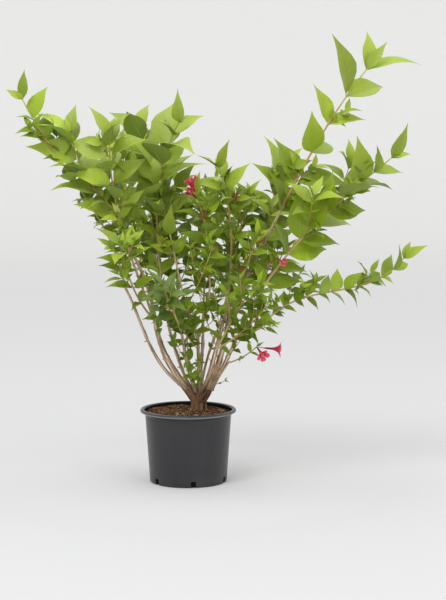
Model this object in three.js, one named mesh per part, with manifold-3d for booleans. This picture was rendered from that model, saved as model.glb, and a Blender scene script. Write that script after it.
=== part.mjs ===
// Weigela in a nursery pot: an open, many-stemmed shrub with opposite leaves and a few late flowers.
// Millimetres, +Z up. The origin is the centre of the pot's flat underside, +X is the side that the
// low arching shoot reaches to, and -Y is the front.
import * as THREE from "three";
import { mergeVertices } from "three/addons/utils/BufferGeometryUtils.js";
import Module from "manifold-3d";

const wasm = await Module();
wasm.setup();

// ---------------------------------------------------------------- driving sizes

const CLEARANCE = 0.3; // between pieces that meet
const DEGREE = Math.PI / 180;

const POT = {
  height: 172,
  rimRadius: 113,
  mouthRadius: 102, // outer wall, just under the rim
  footRadius: 91,
  wall: 2,
  lipHeight: 9,
  shoulderDrop: 16, // from the lip's underside to where the inside starts to open to it
  chamfer: 3, // at the foot and on the lip
  facets: 36,
  slots: 6, // drain slots through the foot of the wall
  slotWidth: 12,
  slotHeight: 15,
  slotDepth: 12,
  firstSlot: 8.5, // degrees from the front, towards +X
};

const SOIL = {
  crown: 165.5, // level part that the stool stands on
  crownRadius: 70,
  top: 164,
  edgeSlope: 14, // width of the sloping margin
  edgeDrop: 8,
  facets: 24,
};

// The stool is the short woody trunk, and its arms carry the stems.
const STOOL = {
  foot: [24, 18, SOIL.crown + CLEARANCE],
  top: [25, 17, 203],
  flareRadius: 25, // at the soil
  waistRadius: 16,
  topRadius: 17,
  flareHeight: 7, // over which the flare dies away
  flarePower: 1.6, // brings the rings close together at the soil
  ridges: [{ count: 3, depth: 0.07, phase: 1 }, { count: 5, depth: 0.04, phase: 0 }],
  armRoot: 14, // below the top
  sides: 12,
  rings: 4,
};

const ARMS = {
  left: { bearing: -171, reach: 30, rise: 36, bow: 0.08, radii: [15, 10] },
  middle: { bearing: 100, reach: 12, rise: 26, radii: [12, 9] },
  right: { bearing: -20, reach: 24, rise: 34, bow: 0.1, radii: [15, 11.5] },
  front: { bearing: -100, reach: 16, rise: 26, bow: 0.05, radii: [12, 8] },
};

const ARM = { sides: 8, ringEvery: 12 };
const STEM = { sides: 7, ringEvery: 45 };
const TWIG = { sides: 3, ringEvery: 80, tipRadius: 1.3 };

const LEAF = {
  halfWidth: 0.28, // over the length, as are the other shares here
  ribAt: 0.44, // where the rib is thickest
  widest: 0.34,
  drawnOut: 0.68, // where the outline starts to narrow to the tip
  drawnWidth: 0.74, // half width there, over the half width at the widest place
  thickness: 1 / 48,
  thinnest: 1.4,
  droop: 0.14, // how far the tip hangs
  fold: 0.2, // how far the margins stand above the rib, over the half width
  leastOpen: 30, // degrees from the twig, at its tip
  mostOpen: 54,
};

// The leaves turn their upper sides outward from a line behind the crown's middle.
const CORE = { x: 25, y: 170, flatten: 0.25 };

// Weights of what turns a leaf's upper side: its twig's direction, outward, upward and chance.
const FACING = { along: 0.2, outward: 0.58, upward: 0.62, chance: 0.6 };

// The leaves of one shoot, where its mass names none of these. Two numbers in a row are the least
// value and the range above it.
const PAIRS = {
  swing: 90, // degrees round the shoot from one pair to the next
  lean: 1, // over the angle at which a leaf opens
  lastAt: 0.995, // share of the shoot
  crowding: 1.4, // power that closes the pairs up towards the tip
  twist: 26, // degrees, over which chance turns a pair
  size: [0.5, 0.5], // over the mass's longest blade
  sizeWave: [0.1, 0.62], // the stretch of a half wave that the sizes follow
  tip: 0.8, // the last pair's size over the rule's
  tipPower: 6, // how late the sizes shrink at the tip
  closingPower: 8, // how late the leaves close up round the tip
  length: [0.88, 0.2],
  angle: [0.86, 0.28],
};

const SIDE_TWIG = {
  bare: 0.25,
  radius: 0.8, // over the shoot's own there
  lastAt: 0.72, // share of the shoot
  place: [0.3, 0.4], // in its own stretch of the shoot
  longestShoot: 220, // that it takes its length from
  length: [0.5, 0.2],
  shortening: 0.4, // at the shoot's tip
  firstTurn: 45, // degrees round the shoot, as are the next two
  turn: 137,
  turnChance: 60,
  along: 0.8, // weights of its direction: the shoot's own, away from it, and up
  away: 0.7,
  upward: 0.2,
  bow: 0.08,
  pairEvery: 40,
  leaf: [0.74, 0.14],
};

const FLOWER = {
  length: 30,
  neckRadius: 2.2,
  neck: 4, // length, where a flower names none
  throatRadius: 5,
  throatAt: 0.6,
  mouthRadius: 13,
  hollow: 0.72,
  sides: 6,
};

const FINISHES = {
  pot: { color: "#3b3b3d", roughness: 0.5 },
  soil: { color: "#5b4030", roughness: 0.95 },
  stool: { color: "#6e5444", roughness: 0.9 },
  bark: { color: "#a98f78", roughness: 0.85 },
  foliage: { color: "#6f9a35", roughness: 0.6 },
};

// ---------------------------------------------------------------- the stems, as bare boughs

// A stem leaves an arm of the stool, or another stem's tip, at an offset from it, and ends where its
// foliage begins. bearing is a compass angle from +X towards +Y, and reach and rise give the tip.
const STEMS = [
  { name: "stem_far_left", on: "left", offset: [-2, -3, -6], radii: [4.2, 2.8],
    bearing: -170, reach: 141, rise: 240, bow: 0.135, curl: 0.07, sway: -0.02 },
  { name: "stem_left", on: "left", offset: [2, 1, -6], radii: [8.6, 5],
    bearing: -169, reach: 76, rise: 164, bow: 0.15, sway: -0.04 },
  { name: "stem_left_back", on: "left", offset: [8, 9, -6], radii: [4.4, 3.2],
    bearing: 148, reach: 66, rise: 165, bow: 0.06, sway: 0.01 },
  { name: "stem_middle_thin", on: "front", offset: [-6, 4, -4], radii: [2.8, 2.3],
    bearing: -140, reach: 18, rise: 76, bow: 0.06 },
  { name: "stem_middle", on: "front", offset: [3, 0, -4], radii: [4.6, 3.6],
    bearing: -97, reach: 18, rise: 136, bow: -0.01 },
  { name: "stem_middle_left_fork", on: "stem_middle", offset: [-1, 0, -3], radii: [3.3, 2.6],
    bearing: -158, reach: 28, rise: 72, bow: -0.04, sway: 0.03 },
  { name: "stem_middle_right_fork", on: "stem_middle", offset: [2, 1, -3], radii: [2.9, 2.4],
    bearing: 4, reach: 27, rise: 122, bow: 0.06 },
  { name: "stem_grey", on: "middle", offset: [5, 2, -5], radii: [3.3, 2.6],
    bearing: 48, reach: 60, rise: 140, bow: -0.07, sway: 0.01 },
  { name: "stem_right_inner", on: "right", offset: [-8, 4, -5], radii: [5.6, 4.2],
    bearing: -13, reach: 45, rise: 165, bow: 0.02, sway: -0.01 },
  { name: "stem_right", on: "right", offset: [1, -1, -6], radii: [7.4, 4.8],
    bearing: -6, reach: 49, rise: 200, bow: 0.09, sway: -0.02 },
  { name: "stem_right_outer", on: "right", offset: [6, -6, -6], radii: [5.2, 3.8],
    bearing: -18, reach: 67, rise: 132, bow: 0.03, sway: -0.01 },
  { name: "stem_right_low", on: "stem_right_outer", offset: [1, 0, -4], radii: [3, 2.6],
    bearing: 16, reach: 58, rise: 26, bow: 0.2 },
  { name: "stem_flower", on: "right", offset: [8, -11, -8], radii: [2.4, 1.9],
    bearing: -14, reach: 44, rise: 72, bow: -0.04, sway: -0.04 },
  { name: "stem_back_left", on: "middle", offset: [-5, 4, -5], radii: [4.4, 3.2],
    bearing: 128, reach: 66, rise: 180, bow: 0.08, sway: 0.02 },
  { name: "stem_back", on: "middle", offset: [1, 6, -5], radii: [4.4, 3.2],
    bearing: 82, reach: 70, rise: 172, bow: 0.1, sway: -0.02 },
  { name: "stem_back_right", on: "right", offset: [-1, 9, -6], radii: [4.6, 3.3],
    bearing: 50, reach: 84, rise: 166, bow: 0.1, sway: 0.01 },
  { name: "stem_front_left", on: "front", offset: [-5, -4, -4], radii: [3.8, 2.8],
    bearing: -122, reach: 58, rise: 150, bow: 0.12, sway: 0.01 },
  { name: "stem_front_right", on: "front", offset: [5, -5, -4], radii: [3.8, 2.8],
    bearing: -48, reach: 60, rise: 112, bow: 0.12, sway: 0.02 },
];

// ---------------------------------------------------------------- the foliage masses

// Each mass grows from one shoot at a stem's tip. pairs counts the shoot's nodes of opposite leaves,
// bare is the share of it without leaves at its foot, leaf is its longest blade, turn is the last
// pair's angle round the shoot, and twigs counts its seeded side twigs. Where PAIRS names a value,
// a mass may give its own: swing is the angle from one pair to the next, crowding closes the pairs
// up towards the tip, lean opens the leaves, and tip is the last pair's size. turns adds degrees to
// the pairs from the foot on, and shares are the sizes of each pair's two leaves over the rule's. A
// fork is a side twig of named size, and flowers are given by their place on the shoot, bearing and
// pitch.
const MASSES = [
  { name: "leaves_far_left", on: "stem_far_left", seed: 2624, bearing: -169, reach: 234, rise: 440,
    bow: -0.075, curl: -0.064, sway: 0.021, pairs: 8, bare: 0.08, leaf: 78, turn: 119, swing: 20,
    lean: 0.88, crowding: 1.05, tip: 0.89, twigs: 0, turns: [-30, 60, 45, 15, 45, 10, 0, -40, -25],
    shares: [[1, 1.1], [1, 0.6], [0.6, 0.8], [1.05, 0.75], [1.25, 1.15], [0.6, 1.25], [0.95, 1.05],
    [1.25, 0.6], [1.2, 0.7]] },
  { name: "leaves_left_outer", on: "stem_left", seed: 344, bearing: -172, reach: 197, rise: 437,
    bow: -0.049, curl: -0.078, sway: 0.024, pairs: 7, bare: 0.35, leaf: 104, turn: 112, swing: 40,
    lean: 0.88, crowding: 1.3, tip: 0.85, twigs: 0, turns: [-50, -60, -10, 10, 5, 10, 10, -10],
    shares: [[1, 1], [0.65, 1], [1.25, 1], [1.2, 1], [1.25, 1.1], [1.25, 0.7], [1.05, 1.25],
    [1, 1.2]] },
  { name: "leaves_left_front", on: "stem_left", seed: 1191, bearing: -146, reach: 119, rise: 430,
    bow: 0.095, curl: -0.031, sway: -0.035, pairs: 8, bare: 0.41, leaf: 113, turn: 59, lean: 0.99,
    crowding: 1.3, tip: 0.81, twigs: 0 },
  { name: "leaves_left_low", on: "stem_left", seed: 188, bearing: -122, reach: 130, rise: 184,
    bow: 0.083, curl: 0.013, sway: -0.11, pairs: 5, bare: 0.29, leaf: 83, turn: 26, lean: 1.2,
    tip: 1.12, twigs: 0 },
  { name: "leaves_left_back", on: "stem_left_back", seed: 4962, bearing: 150, reach: 127,
    rise: 393, bow: -0.038, curl: -0.017, sway: -0.028, pairs: 8, bare: 0.14, leaf: 97, turn: 118,
    lean: 0.88, tip: 0.87, twigs: 1 },
  { name: "leaves_tall_left", on: "stem_left_back", seed: 807, bearing: -70, reach: 99, rise: 463,
    bow: -0.094, curl: 0.123, sway: -0.132, pairs: 9, bare: 0.23, leaf: 116, turn: 127, lean: 0.88,
    crowding: 1.1, tip: 0.75, twigs: 0, turns: [-20, -20, 0, -60, 30, 10, 5, -30, -10, 40],
    shares: [[0.95, 1.1], [1.15, 1.05], [0.95, 0.7], [1.2, 1], [1.1, 1], [1, 1], [0.9, 1.15],
    [1.2, 1.25], [1, 0.9], [1, 0.6]] },
  { name: "leaves_low_middle", on: "stem_middle_thin", seed: 161, bearing: -109, reach: 22,
    rise: 118, bow: 0.03, sway: -0.012, pairs: 5, bare: 0.06, leaf: 60, turn: 0, lean: 1.09,
    twigs: 0 },
  { name: "leaves_middle_left", on: "stem_middle_left_fork", seed: 4766, bearing: 142, reach: 140,
    rise: 406, bow: -0.046, curl: 0.022, sway: -0.011, pairs: 8, bare: 0.3, leaf: 116, turn: 133,
    lean: 0.88, crowding: 1.25, tip: 0.87, twigs: 1 },
  { name: "leaves_middle_front", on: "stem_middle_left_fork", seed: 253, bearing: -45, reach: 82,
    rise: 136, bow: 0.04, curl: -0.015, sway: 0.007, pairs: 4, bare: 0.39, leaf: 54, turn: 64,
    lean: 1.19, twigs: 0 },
  { name: "leaves_middle_top", on: "stem_middle_right_fork", seed: 190, bearing: -131, reach: 48,
    rise: 210, bow: -0.086, curl: 0.036, sway: 0.046, pairs: 6, bare: 0.17, leaf: 85, turn: 46,
    lean: 0.97, crowding: 1.1, twigs: 0, flowers: [{ at: 0.98, bearing: 205, pitch: 64 }] },
  { name: "leaves_middle_back", on: "stem_grey", seed: 222, bearing: 24, reach: 84, rise: 325,
    bow: 0.014, curl: 0.011, sway: -0.007, pairs: 8, bare: 0.12, leaf: 75, turn: 13, lean: 0.88,
    tip: 0.75, twigs: 1 },
  { name: "leaves_right_middle", on: "stem_right_inner", seed: 328, bearing: -101, reach: 54,
    rise: 359, bow: -0.092, curl: 0.046, sway: 0.112, pairs: 9, bare: 0.21, leaf: 89, turn: 10,
    lean: 1.11, crowding: 1.15, tip: 0.9, twigs: 0 },
  { name: "leaves_tall_right", on: "stem_right", seed: 1207, bearing: 6, reach: 321, rise: 552,
    bow: -0.046, curl: 0.027, sway: -0.052, pairs: 7, bare: 0.15, leaf: 128, turn: 73, swing: 60,
    lean: 0.88, crowding: 1, tip: 0.99, twigs: 0, turns: [10, 60, 20, 10, 0, 5, -5, 10],
    shares: [[1, 1], [1.25, 0.85], [1.2, 1.25], [1.05, 1.2], [0.75, 1.25], [0.8, 0.85],
    [1.25, 1.1], [0.95, 1.15]] },
  { name: "leaves_right_front", on: "stem_right", seed: 240, bearing: -50, reach: 101, rise: 171,
    bow: 0.025, curl: 0.019, sway: 0.002, pairs: 5, bare: 0.11, leaf: 61, turn: 114, lean: 0.93,
    twigs: 0 },
  { name: "leaves_right_outer", on: "stem_right_outer", seed: 167, bearing: -6, reach: 353,
    rise: 417, bow: -0.133, curl: -0.027, sway: 0.005, pairs: 9, bare: 0.24, leaf: 112, turn: 76,
    swing: 50, lean: 0.88, crowding: 0.95, tip: 0.75, twigs: 0, turns: [-30, 35, 0, 45, 10, 60, 60,
    50, 5, 45], shares: [[1, 1.25], [0.95, 1.1], [1.15, 1.1], [1.05, 1.25], [1.2, 1.25], [1, 1.1],
    [1.2, 1.25], [1, 1.25], [0.8, 0.95], [1.25, 0.7]],
    forks: [{ at: 0.7, bearing: -20, reach: 34, rise: 98, pairs: 3, leaf: 80, turn: 90 }] },
  { name: "leaves_right_low", on: "stem_right_low", seed: 133, bearing: 2, reach: 331, rise: 159,
    bow: -0.014, curl: -0.179, sway: -0.003, pairs: 12, bare: 0.02, leaf: 64, turn: 57, swing: 60,
    lean: 0.88, crowding: 0.95, tip: 0.94, twigs: 0, turns: [-5, 0, 0, 10, 0, 0, 10, -15, -45, 30,
    0, 40, -35], shares: [[1, 1], [0.8, 1], [0.8, 1], [1, 0.65], [1.25, 0.8], [0.75, 1.1],
    [0.85, 1.25], [1.1, 1], [1.2, 0.9], [1, 1], [0.6, 1.25], [1.25, 1.2], [1, 1.2]] },
  { name: "flower_twig", on: "stem_flower", seed: 35, bearing: -29, reach: 71, rise: 42, bow: 0.1,
    pairs: 2, bare: 0.3, leaf: 35, turn: 10, twigs: 0,
    flowers: [{ at: 0.97, bearing: -6, pitch: -4, neck: 26 }, { at: 0.99, bearing: -60, pitch: -30 }] },
  { name: "leaves_back_left_high", on: "stem_back_left", seed: 241, bearing: 112, reach: 130,
    rise: 307, bow: 0.04, sway: 0.015, pairs: 7, bare: 0.1, leaf: 92, turn: 25, lean: 0.92,
    twigs: 1 },
  { name: "leaves_back_left_low", on: "stem_back_left", seed: 16, bearing: 161, reach: 140,
    rise: 220, bow: 0.077, curl: 0.001, pairs: 6, bare: 0.14, leaf: 70, turn: 45, lean: 0.88,
    twigs: 1 },
  { name: "leaves_back_high", on: "stem_back", seed: 205, bearing: 85, reach: 120, rise: 288,
    bow: 0.04, pairs: 7, bare: 0.04, leaf: 94, turn: 71, lean: 0.88, twigs: 1 },
  { name: "leaves_back_low", on: "stem_back", seed: 90, bearing: 66, reach: 189, rise: 130,
    bow: 0.12, curl: 0.021, pairs: 5, bare: 0.16, leaf: 66, turn: -9, lean: 1.15, twigs: 1 },
  { name: "leaves_back_right_high", on: "stem_back_right", seed: 858, bearing: 22, reach: 130,
    rise: 349, bow: 0.082, curl: -0.006, sway: 0.001, pairs: 9, bare: 0.12, leaf: 102, turn: 87,
    lean: 0.88, tip: 0.98, twigs: 1 },
  { name: "leaves_back_right_low", on: "stem_back_right", seed: 366, bearing: 17, reach: 140,
    rise: 165, bow: 0.104, pairs: 6, bare: 0.15, leaf: 64, turn: 45, twigs: 1 },
  { name: "leaves_front_left", on: "stem_front_left", seed: 255, bearing: -116, reach: 92,
    rise: 117, bow: -0.01, curl: -0.017, sway: 0.002, pairs: 4, bare: 0.14, leaf: 83, turn: 152,
    lean: 1.2, twigs: 0 },
  { name: "leaves_front_right", on: "stem_front_right", seed: 286, bearing: -39, reach: 123,
    rise: 158, bow: -0.083, curl: 0.033, sway: -0.018, pairs: 4, bare: 0.13, leaf: 68, turn: 124,
    lean: 1.08, twigs: 0 },
  { name: "leaves_front_right_low", on: "stem_front_right", seed: 94, bearing: -32, reach: 139,
    rise: 116, bow: 0.1, curl: -0.008, sway: 0.005, pairs: 6, bare: 0.09, leaf: 61, turn: 69,
    swing: 60, lean: 1.05, twigs: 0 },
];

// Radius of the first, second and third shoot from one stem's tip, over the stem's own.
const SHOOT_SHARES = [0.92, 0.66, 0.56];

// ---------------------------------------------------------------- seeded numbers

// A 32-bit mixing generator, so that one seed always grows the same shoot.
function seeded(seed) {
  let state = Math.imul(seed, 0x9e3779b1) >>> 0;
  return () => {
    state = (state + 0x6d2b79f5) >>> 0;
    let t = state;
    t = Math.imul(t ^ (t >>> 15), t | 1);
    t ^= t + Math.imul(t ^ (t >>> 7), t | 61);
    return ((t ^ (t >>> 14)) >>> 0) / 4294967296;
  };
}

// ---------------------------------------------------------------- solids

const vec = (x, y, z) => new THREE.Vector3(x, y, z);

// A closed geometry with its shared corners merged, so that only positions are left.
function bare(geometry) {
  geometry.deleteAttribute("normal");
  geometry.deleteAttribute("uv");
  return mergeVertices(geometry, 1e-4);
}

function manifoldOf(positions, triangles) {
  return new wasm.Manifold(
    new wasm.Mesh({ numProp: 3, vertProperties: positions, triVerts: triangles }),
  );
}

function solid(geometry) {
  const g = bare(geometry);
  return manifoldOf(new Float32Array(g.attributes.position.array), new Uint32Array(g.index.array));
}

// A template's solid with every corner moved by a rule.
function reshaped(template, rule) {
  const from = template.attributes.position;
  const positions = new Float32Array(from.count * 3);
  for (let i = 0; i < from.count; i++) {
    rule(from.getX(i), from.getY(i), from.getZ(i)).toArray(positions, i * 3);
  }
  return manifoldOf(positions, new Uint32Array(template.index.array));
}

// A profile of radii and heights turned about the Z axis.
function turned(profile, facets) {
  const points = profile.map(([radius, z]) => new THREE.Vector2(radius, z));
  return new THREE.LatheGeometry(points, facets).rotateX(Math.PI / 2);
}

function meshOf(name, manifold, finish) {
  const { numVert, numProp, vertProperties, triVerts } = manifold.getMesh();
  const positions = new Float32Array(numVert * 3);
  for (let i = 0; i < numVert; i++) {
    positions.set(vertProperties.subarray(i * numProp, i * numProp + 3), i * 3);
  }
  const geometry = new THREE.BufferGeometry();
  geometry.setAttribute("position", new THREE.BufferAttribute(positions, 3));
  geometry.setIndex(new THREE.BufferAttribute(triVerts, 1));
  geometry.computeVertexNormals();
  const material = new THREE.MeshStandardMaterial({ ...finish, metalness: 0 });
  const mesh = new THREE.Mesh(geometry, material);
  mesh.name = name;
  return mesh;
}

const largest = (manifold) =>
  manifold.decompose().reduce((a, b) => (b.volume() > a.volume() ? b : a));

const cutBy = (manifold, cutters) => largest(cutters.reduce((rest, c) => rest.subtract(c), manifold));

// ---------------------------------------------------------------- limbs

// The line of a limb, as a cubic curve. bow sags it outward and down, sway moves it sideways, and
// curl adds to the sag near the start and takes it off near the end, all over the limb's length.
function limbLine(start, { bearing, reach, rise, bow = 0, curl = 0, sway = 0 }) {
  const out = vec(Math.cos(bearing * DEGREE), Math.sin(bearing * DEGREE), 0);
  const side = vec(-out.y, out.x, 0);
  const chord = out.clone().multiplyScalar(reach).add(vec(0, 0, rise));
  const length = chord.length();
  const below = out.clone().multiplyScalar(rise / length).add(vec(0, 0, -reach / length));
  const handle = (share, sag) =>
    start
      .clone()
      .addScaledVector(chord, share)
      .addScaledVector(below, sag * length)
      .addScaledVector(side, (2 / 3) * sway * length);
  const path = new THREE.CubicBezierCurve3(
    start.clone(),
    handle(1 / 3, (2 / 3) * bow + curl),
    handle(2 / 3, (2 / 3) * bow - curl),
    start.clone().add(chord),
  );
  return { path, side, length };
}

const tubeTemplates = new Map();

function tubeTemplate(sides, rings) {
  const key = sides + "x" + rings;
  if (!tubeTemplates.has(key)) {
    tubeTemplates.set(key, bare(new THREE.CylinderGeometry(1, 1, 1, sides, rings)));
  }
  return tubeTemplates.get(key);
}

// The directions at a share t of a limb: along it, and two across it.
function axesAt({ path, side }, t) {
  const along = path.getTangent(t);
  const across = side.clone().addScaledVector(along, -side.dot(along)).normalize();
  const over = new THREE.Vector3().crossVectors(along, across);
  return { along, across, over };
}

// A tapered limb: an upright unit cylinder bent along the line. grow makes it wider and longer, for
// a cut that leaves a clearance.
function limb(line, radii, { sides, ringEvery }, grow = 0) {
  const rings = Math.max(2, Math.round(line.length / ringEvery));
  return reshaped(tubeTemplate(sides, rings), (x, y, z) => {
    const t = y + 0.5;
    const { along, across, over } = axesAt(line, t);
    const radius = radii[0] + (radii[1] - radii[0]) * t + grow;
    const atEnd = Math.round(2 * t - 1) * (Math.abs(y) > 0.499 ? grow : 0);
    return line.path
      .getPoint(t)
      .addScaledVector(along, atEnd)
      .addScaledVector(across, x * radius)
      .addScaledVector(over, -z * radius);
  });
}

// ---------------------------------------------------------------- leaves and flowers

const leafTemplate = bare(new THREE.SphereGeometry(1, 6, 2));

// A leaf is a flat double cone. Its ring of six corners is the blade's outline, from the root by the
// widest place and the drawn-out end to the tip, and its two poles are the rib's upper and lower
// side. from leaves out a share of it at the root, and grow makes it wider and thicker.
function leafSolid({ root, along, side, up, length }, from = 0, grow = 0) {
  const halfWidth = LEAF.halfWidth * length + grow;
  const thickness = Math.max(LEAF.thinnest, LEAF.thickness * length) + 2 * grow;
  const place = (share, w, lift) => {
    const s = from + (1 - from) * share;
    return root
      .clone()
      .addScaledVector(along, s * length)
      .addScaledVector(side, w)
      .addScaledVector(up, lift - LEAF.droop * length * s * s);
  };
  return reshaped(leafTemplate, (x, y, z) => {
    if (Math.abs(y) > 0.5) return place(LEAF.ribAt, 0, (Math.sign(y) * thickness) / 2);
    if (Math.abs(z) < 0.5) return place(x > 0 ? 0 : 1, 0, 0);
    const w = Math.sign(z) * halfWidth * (x > 0 ? 1 : LEAF.drawnWidth);
    return place(x > 0 ? LEAF.widest : LEAF.drawnOut, w, LEAF.fold * Math.abs(w));
  });
}

// A funnel with an open throat. Its neck starts at the root point.
function flowerSolid(root, along, neck) {
  const { length, neckRadius, throatRadius, mouthRadius } = FLOWER;
  const profile = [
    [0, 0],
    [neckRadius, 0],
    [neckRadius, neck],
    [throatRadius, neck + length * FLOWER.throatAt],
    [mouthRadius, neck + length],
    [0, neck + length * FLOWER.hollow],
  ];
  const points = profile.map(([r, h]) => new THREE.Vector2(r, h));
  const turn = new THREE.Quaternion().setFromUnitVectors(vec(0, 1, 0), along);
  const geometry = new THREE.LatheGeometry(points, FLOWER.sides).applyQuaternion(turn);
  return solid(geometry.translate(root.x, root.y, root.z));
}

// ---------------------------------------------------------------- pot, soil and stool

const innerShoulder = POT.height - POT.lipHeight - POT.shoulderDrop;

// Inner radius of the pot's wall at a height under the shoulder.
function wallRadius(z) {
  const foot = POT.footRadius - POT.wall;
  const shoulder = POT.mouthRadius - POT.wall - 1;
  return foot + ((shoulder - foot) * (z - POT.wall)) / (innerShoulder - POT.wall);
}

function potSolid() {
  const { height, rimRadius, mouthRadius, footRadius, wall, lipHeight, chamfer } = POT;
  const underLip = height - lipHeight;
  const profile = [
    [0, 0],
    [footRadius - chamfer, 0],
    [footRadius, chamfer],
    [mouthRadius - 1, underLip - 10],
    [mouthRadius + 1, underLip - 2],
    [rimRadius - 1, underLip],
    [rimRadius, height - chamfer],
    [rimRadius - chamfer, height],
    [rimRadius - 7, height - 1],
    [mouthRadius - wall + 1, underLip - 5],
    [wallRadius(innerShoulder), innerShoulder],
    [wallRadius(wall), wall],
    [0, wall],
  ];
  const slot = (i) => {
    const fromFront = (POT.firstSlot + (i * 360) / POT.slots) * DEGREE;
    const box = new THREE.BoxGeometry(POT.slotWidth, POT.slotDepth * 2, POT.slotHeight * 2);
    return solid(box.translate(0, -footRadius, 0).rotateZ(fromFront));
  };
  const slots = Array.from({ length: POT.slots }, (_, i) => slot(i));
  return slots.reduce((rest, cutter) => rest.subtract(cutter), solid(turned(profile, POT.facets)));
}

function soilSolid() {
  const gap = 2.5 * CLEARANCE; // also takes up the difference between the two rings of facets
  const bottom = POT.wall + CLEARANCE;
  const wide = wallRadius(innerShoulder) - gap;
  const profile = [
    [0, bottom],
    [wallRadius(bottom) - gap, bottom],
    [wide, innerShoulder],
    [wide, SOIL.top - SOIL.edgeDrop],
    [wide - SOIL.edgeSlope, SOIL.top],
    [SOIL.crownRadius, SOIL.crown],
    [0, SOIL.crown],
  ];
  return solid(turned(profile, SOIL.facets));
}

const armStart = vec(...STOOL.top).add(vec(0, 0, -STOOL.armRoot));
const armLines = new Map(Object.entries(ARMS).map(([name, arm]) => [name, limbLine(armStart, arm)]));

// The trunk flares to a flat cut at the soil, with low ridges round it, and the arms fork from it.
function stoolSolid(grow = 0) {
  const foot = vec(...STOOL.foot);
  const top = vec(...STOOL.top);
  const template = tubeTemplate(STOOL.sides, STOOL.rings);
  const trunk = reshaped(template, (x, y, z) => {
    const t = (y + 0.5) ** STOOL.flarePower;
    const flare = Math.exp((-t * (top.z - foot.z)) / STOOL.flareHeight);
    const waist = STOOL.waistRadius + (STOOL.topRadius - STOOL.waistRadius) * t;
    const angle = Math.atan2(z, x);
    const ridge = ({ count, depth, phase }) => depth * Math.sin(count * angle + phase);
    const ridges = STOOL.ridges.reduce((sum, wave) => sum + ridge(wave), 1);
    const radius = (waist + (STOOL.flareRadius - STOOL.waistRadius) * flare) * ridges + grow;
    const out = Math.hypot(x, z) * radius;
    const at = foot.clone().lerp(top, t);
    return vec(at.x + Math.cos(angle) * out, at.y - Math.sin(angle) * out, at.z - (t ? 0 : grow));
  });
  const arms = Object.entries(ARMS).map(([name, { radii }]) =>
    limb(armLines.get(name), radii, ARM, grow),
  );
  return wasm.Manifold.union([trunk, ...arms]);
}

// ---------------------------------------------------------------- what has grown so far

const grown = []; // each limb, twig, leaf and flower, with its box, its node and its part of it
const keepOut = []; // the limbs, wider by the clearance
const tips = new Map();

function remember(manifold, node, part) {
  const { min, max } = manifold.boundingBox();
  grown.push({ manifold, node, part, box: new THREE.Box3(vec(...min), vec(...max)) });
}

// Whether a probe is clear of everything that has grown, apart from what ignore picks out.
function isClear(probe, ignore) {
  const { min, max } = probe.boundingBox();
  const box = new THREE.Box3(vec(...min), vec(...max));
  const meets = (other) =>
    !ignore(other) && other.box.intersectsBox(box) && !other.manifold.intersect(probe).isEmpty();
  return !grown.some(meets);
}

const startOn = (on, offset) => tips.get(on).clone().add(vec(...offset));

const stool = stoolSolid();
remember(stool, "stool", "limb");
keepOut.push(stoolSolid(CLEARANCE));
for (const [name, { path }] of armLines) tips.set(name, path.getPoint(1));

for (const stem of STEMS) {
  const line = limbLine(startOn(stem.on, stem.offset), stem);
  stem.solid = cutBy(limb(line, stem.radii, STEM), keepOut);
  keepOut.push(limb(line, stem.radii, STEM, CLEARANCE));
  tips.set(stem.name, line.path.getPoint(1));
  remember(stem.solid, stem.name, "limb");
}

// ---------------------------------------------------------------- shoots

const SUNK = [0, 0, -4]; // a shoot starts inside its stem's end, and is cut clear of it
const SPACE_SAMPLES = 12;
const shootsOn = new Map();

for (const mass of MASSES) {
  const stem = STEMS.find(({ name }) => name === mass.on);
  const before = shootsOn.get(mass.on) ?? 0;
  shootsOn.set(mass.on, before + 1);
  mass.radius = stem.radii[1] * SHOOT_SHARES[before];
  mass.line = limbLine(startOn(mass.on, SUNK), mass);
  mass.samples = Array.from({ length: SPACE_SAMPLES + 1 }, (_, i) =>
    mass.line.path.getPoint(i / SPACE_SAMPLES),
  );
  const radii = [mass.radius, TWIG.tipRadius];
  const shoot = cutBy(limb(mass.line, radii, TWIG), keepOut);
  keepOut.push(limb(mass.line, radii, TWIG, CLEARANCE));
  mass.parts = [shoot];
  remember(shoot, mass.name, "shoot");
}

const distanceTo = (mass, point) =>
  Math.min(...mass.samples.map((sample) => sample.distanceTo(point)));

// A mass's own space is everything that is nearer to its shoot than to any other shoot.
const inOwnSpace = (mass, point) =>
  MASSES.every((other) => other === mass || distanceTo(other, point) > distanceTo(mass, point));

const drawn = ([least, range], random) => least + range * random();

// One leaf. Its blade leaves the twig at an angle, and its upper side turns outward and up.
function leafFrame(point, along, pair, angle, length, random) {
  const direction = along
    .clone()
    .multiplyScalar(Math.cos(angle))
    .addScaledVector(pair, Math.sin(angle));
  const outward = vec((point.x - CORE.x) * CORE.flatten, point.y - CORE.y, 0).normalize();
  const jitter = vec(random() - 0.5, random() - 0.5, random() - 0.5);
  const facing = vec(0, 0, FACING.upward).addScaledVector(along, FACING.along);
  facing.addScaledVector(outward, FACING.outward).addScaledVector(jitter, FACING.chance);
  const up = facing.addScaledVector(direction, -facing.dot(direction)).normalize();
  const side = new THREE.Vector3().crossVectors(up, direction);
  return { root: point, along: direction, side, up, length };
}

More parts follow.
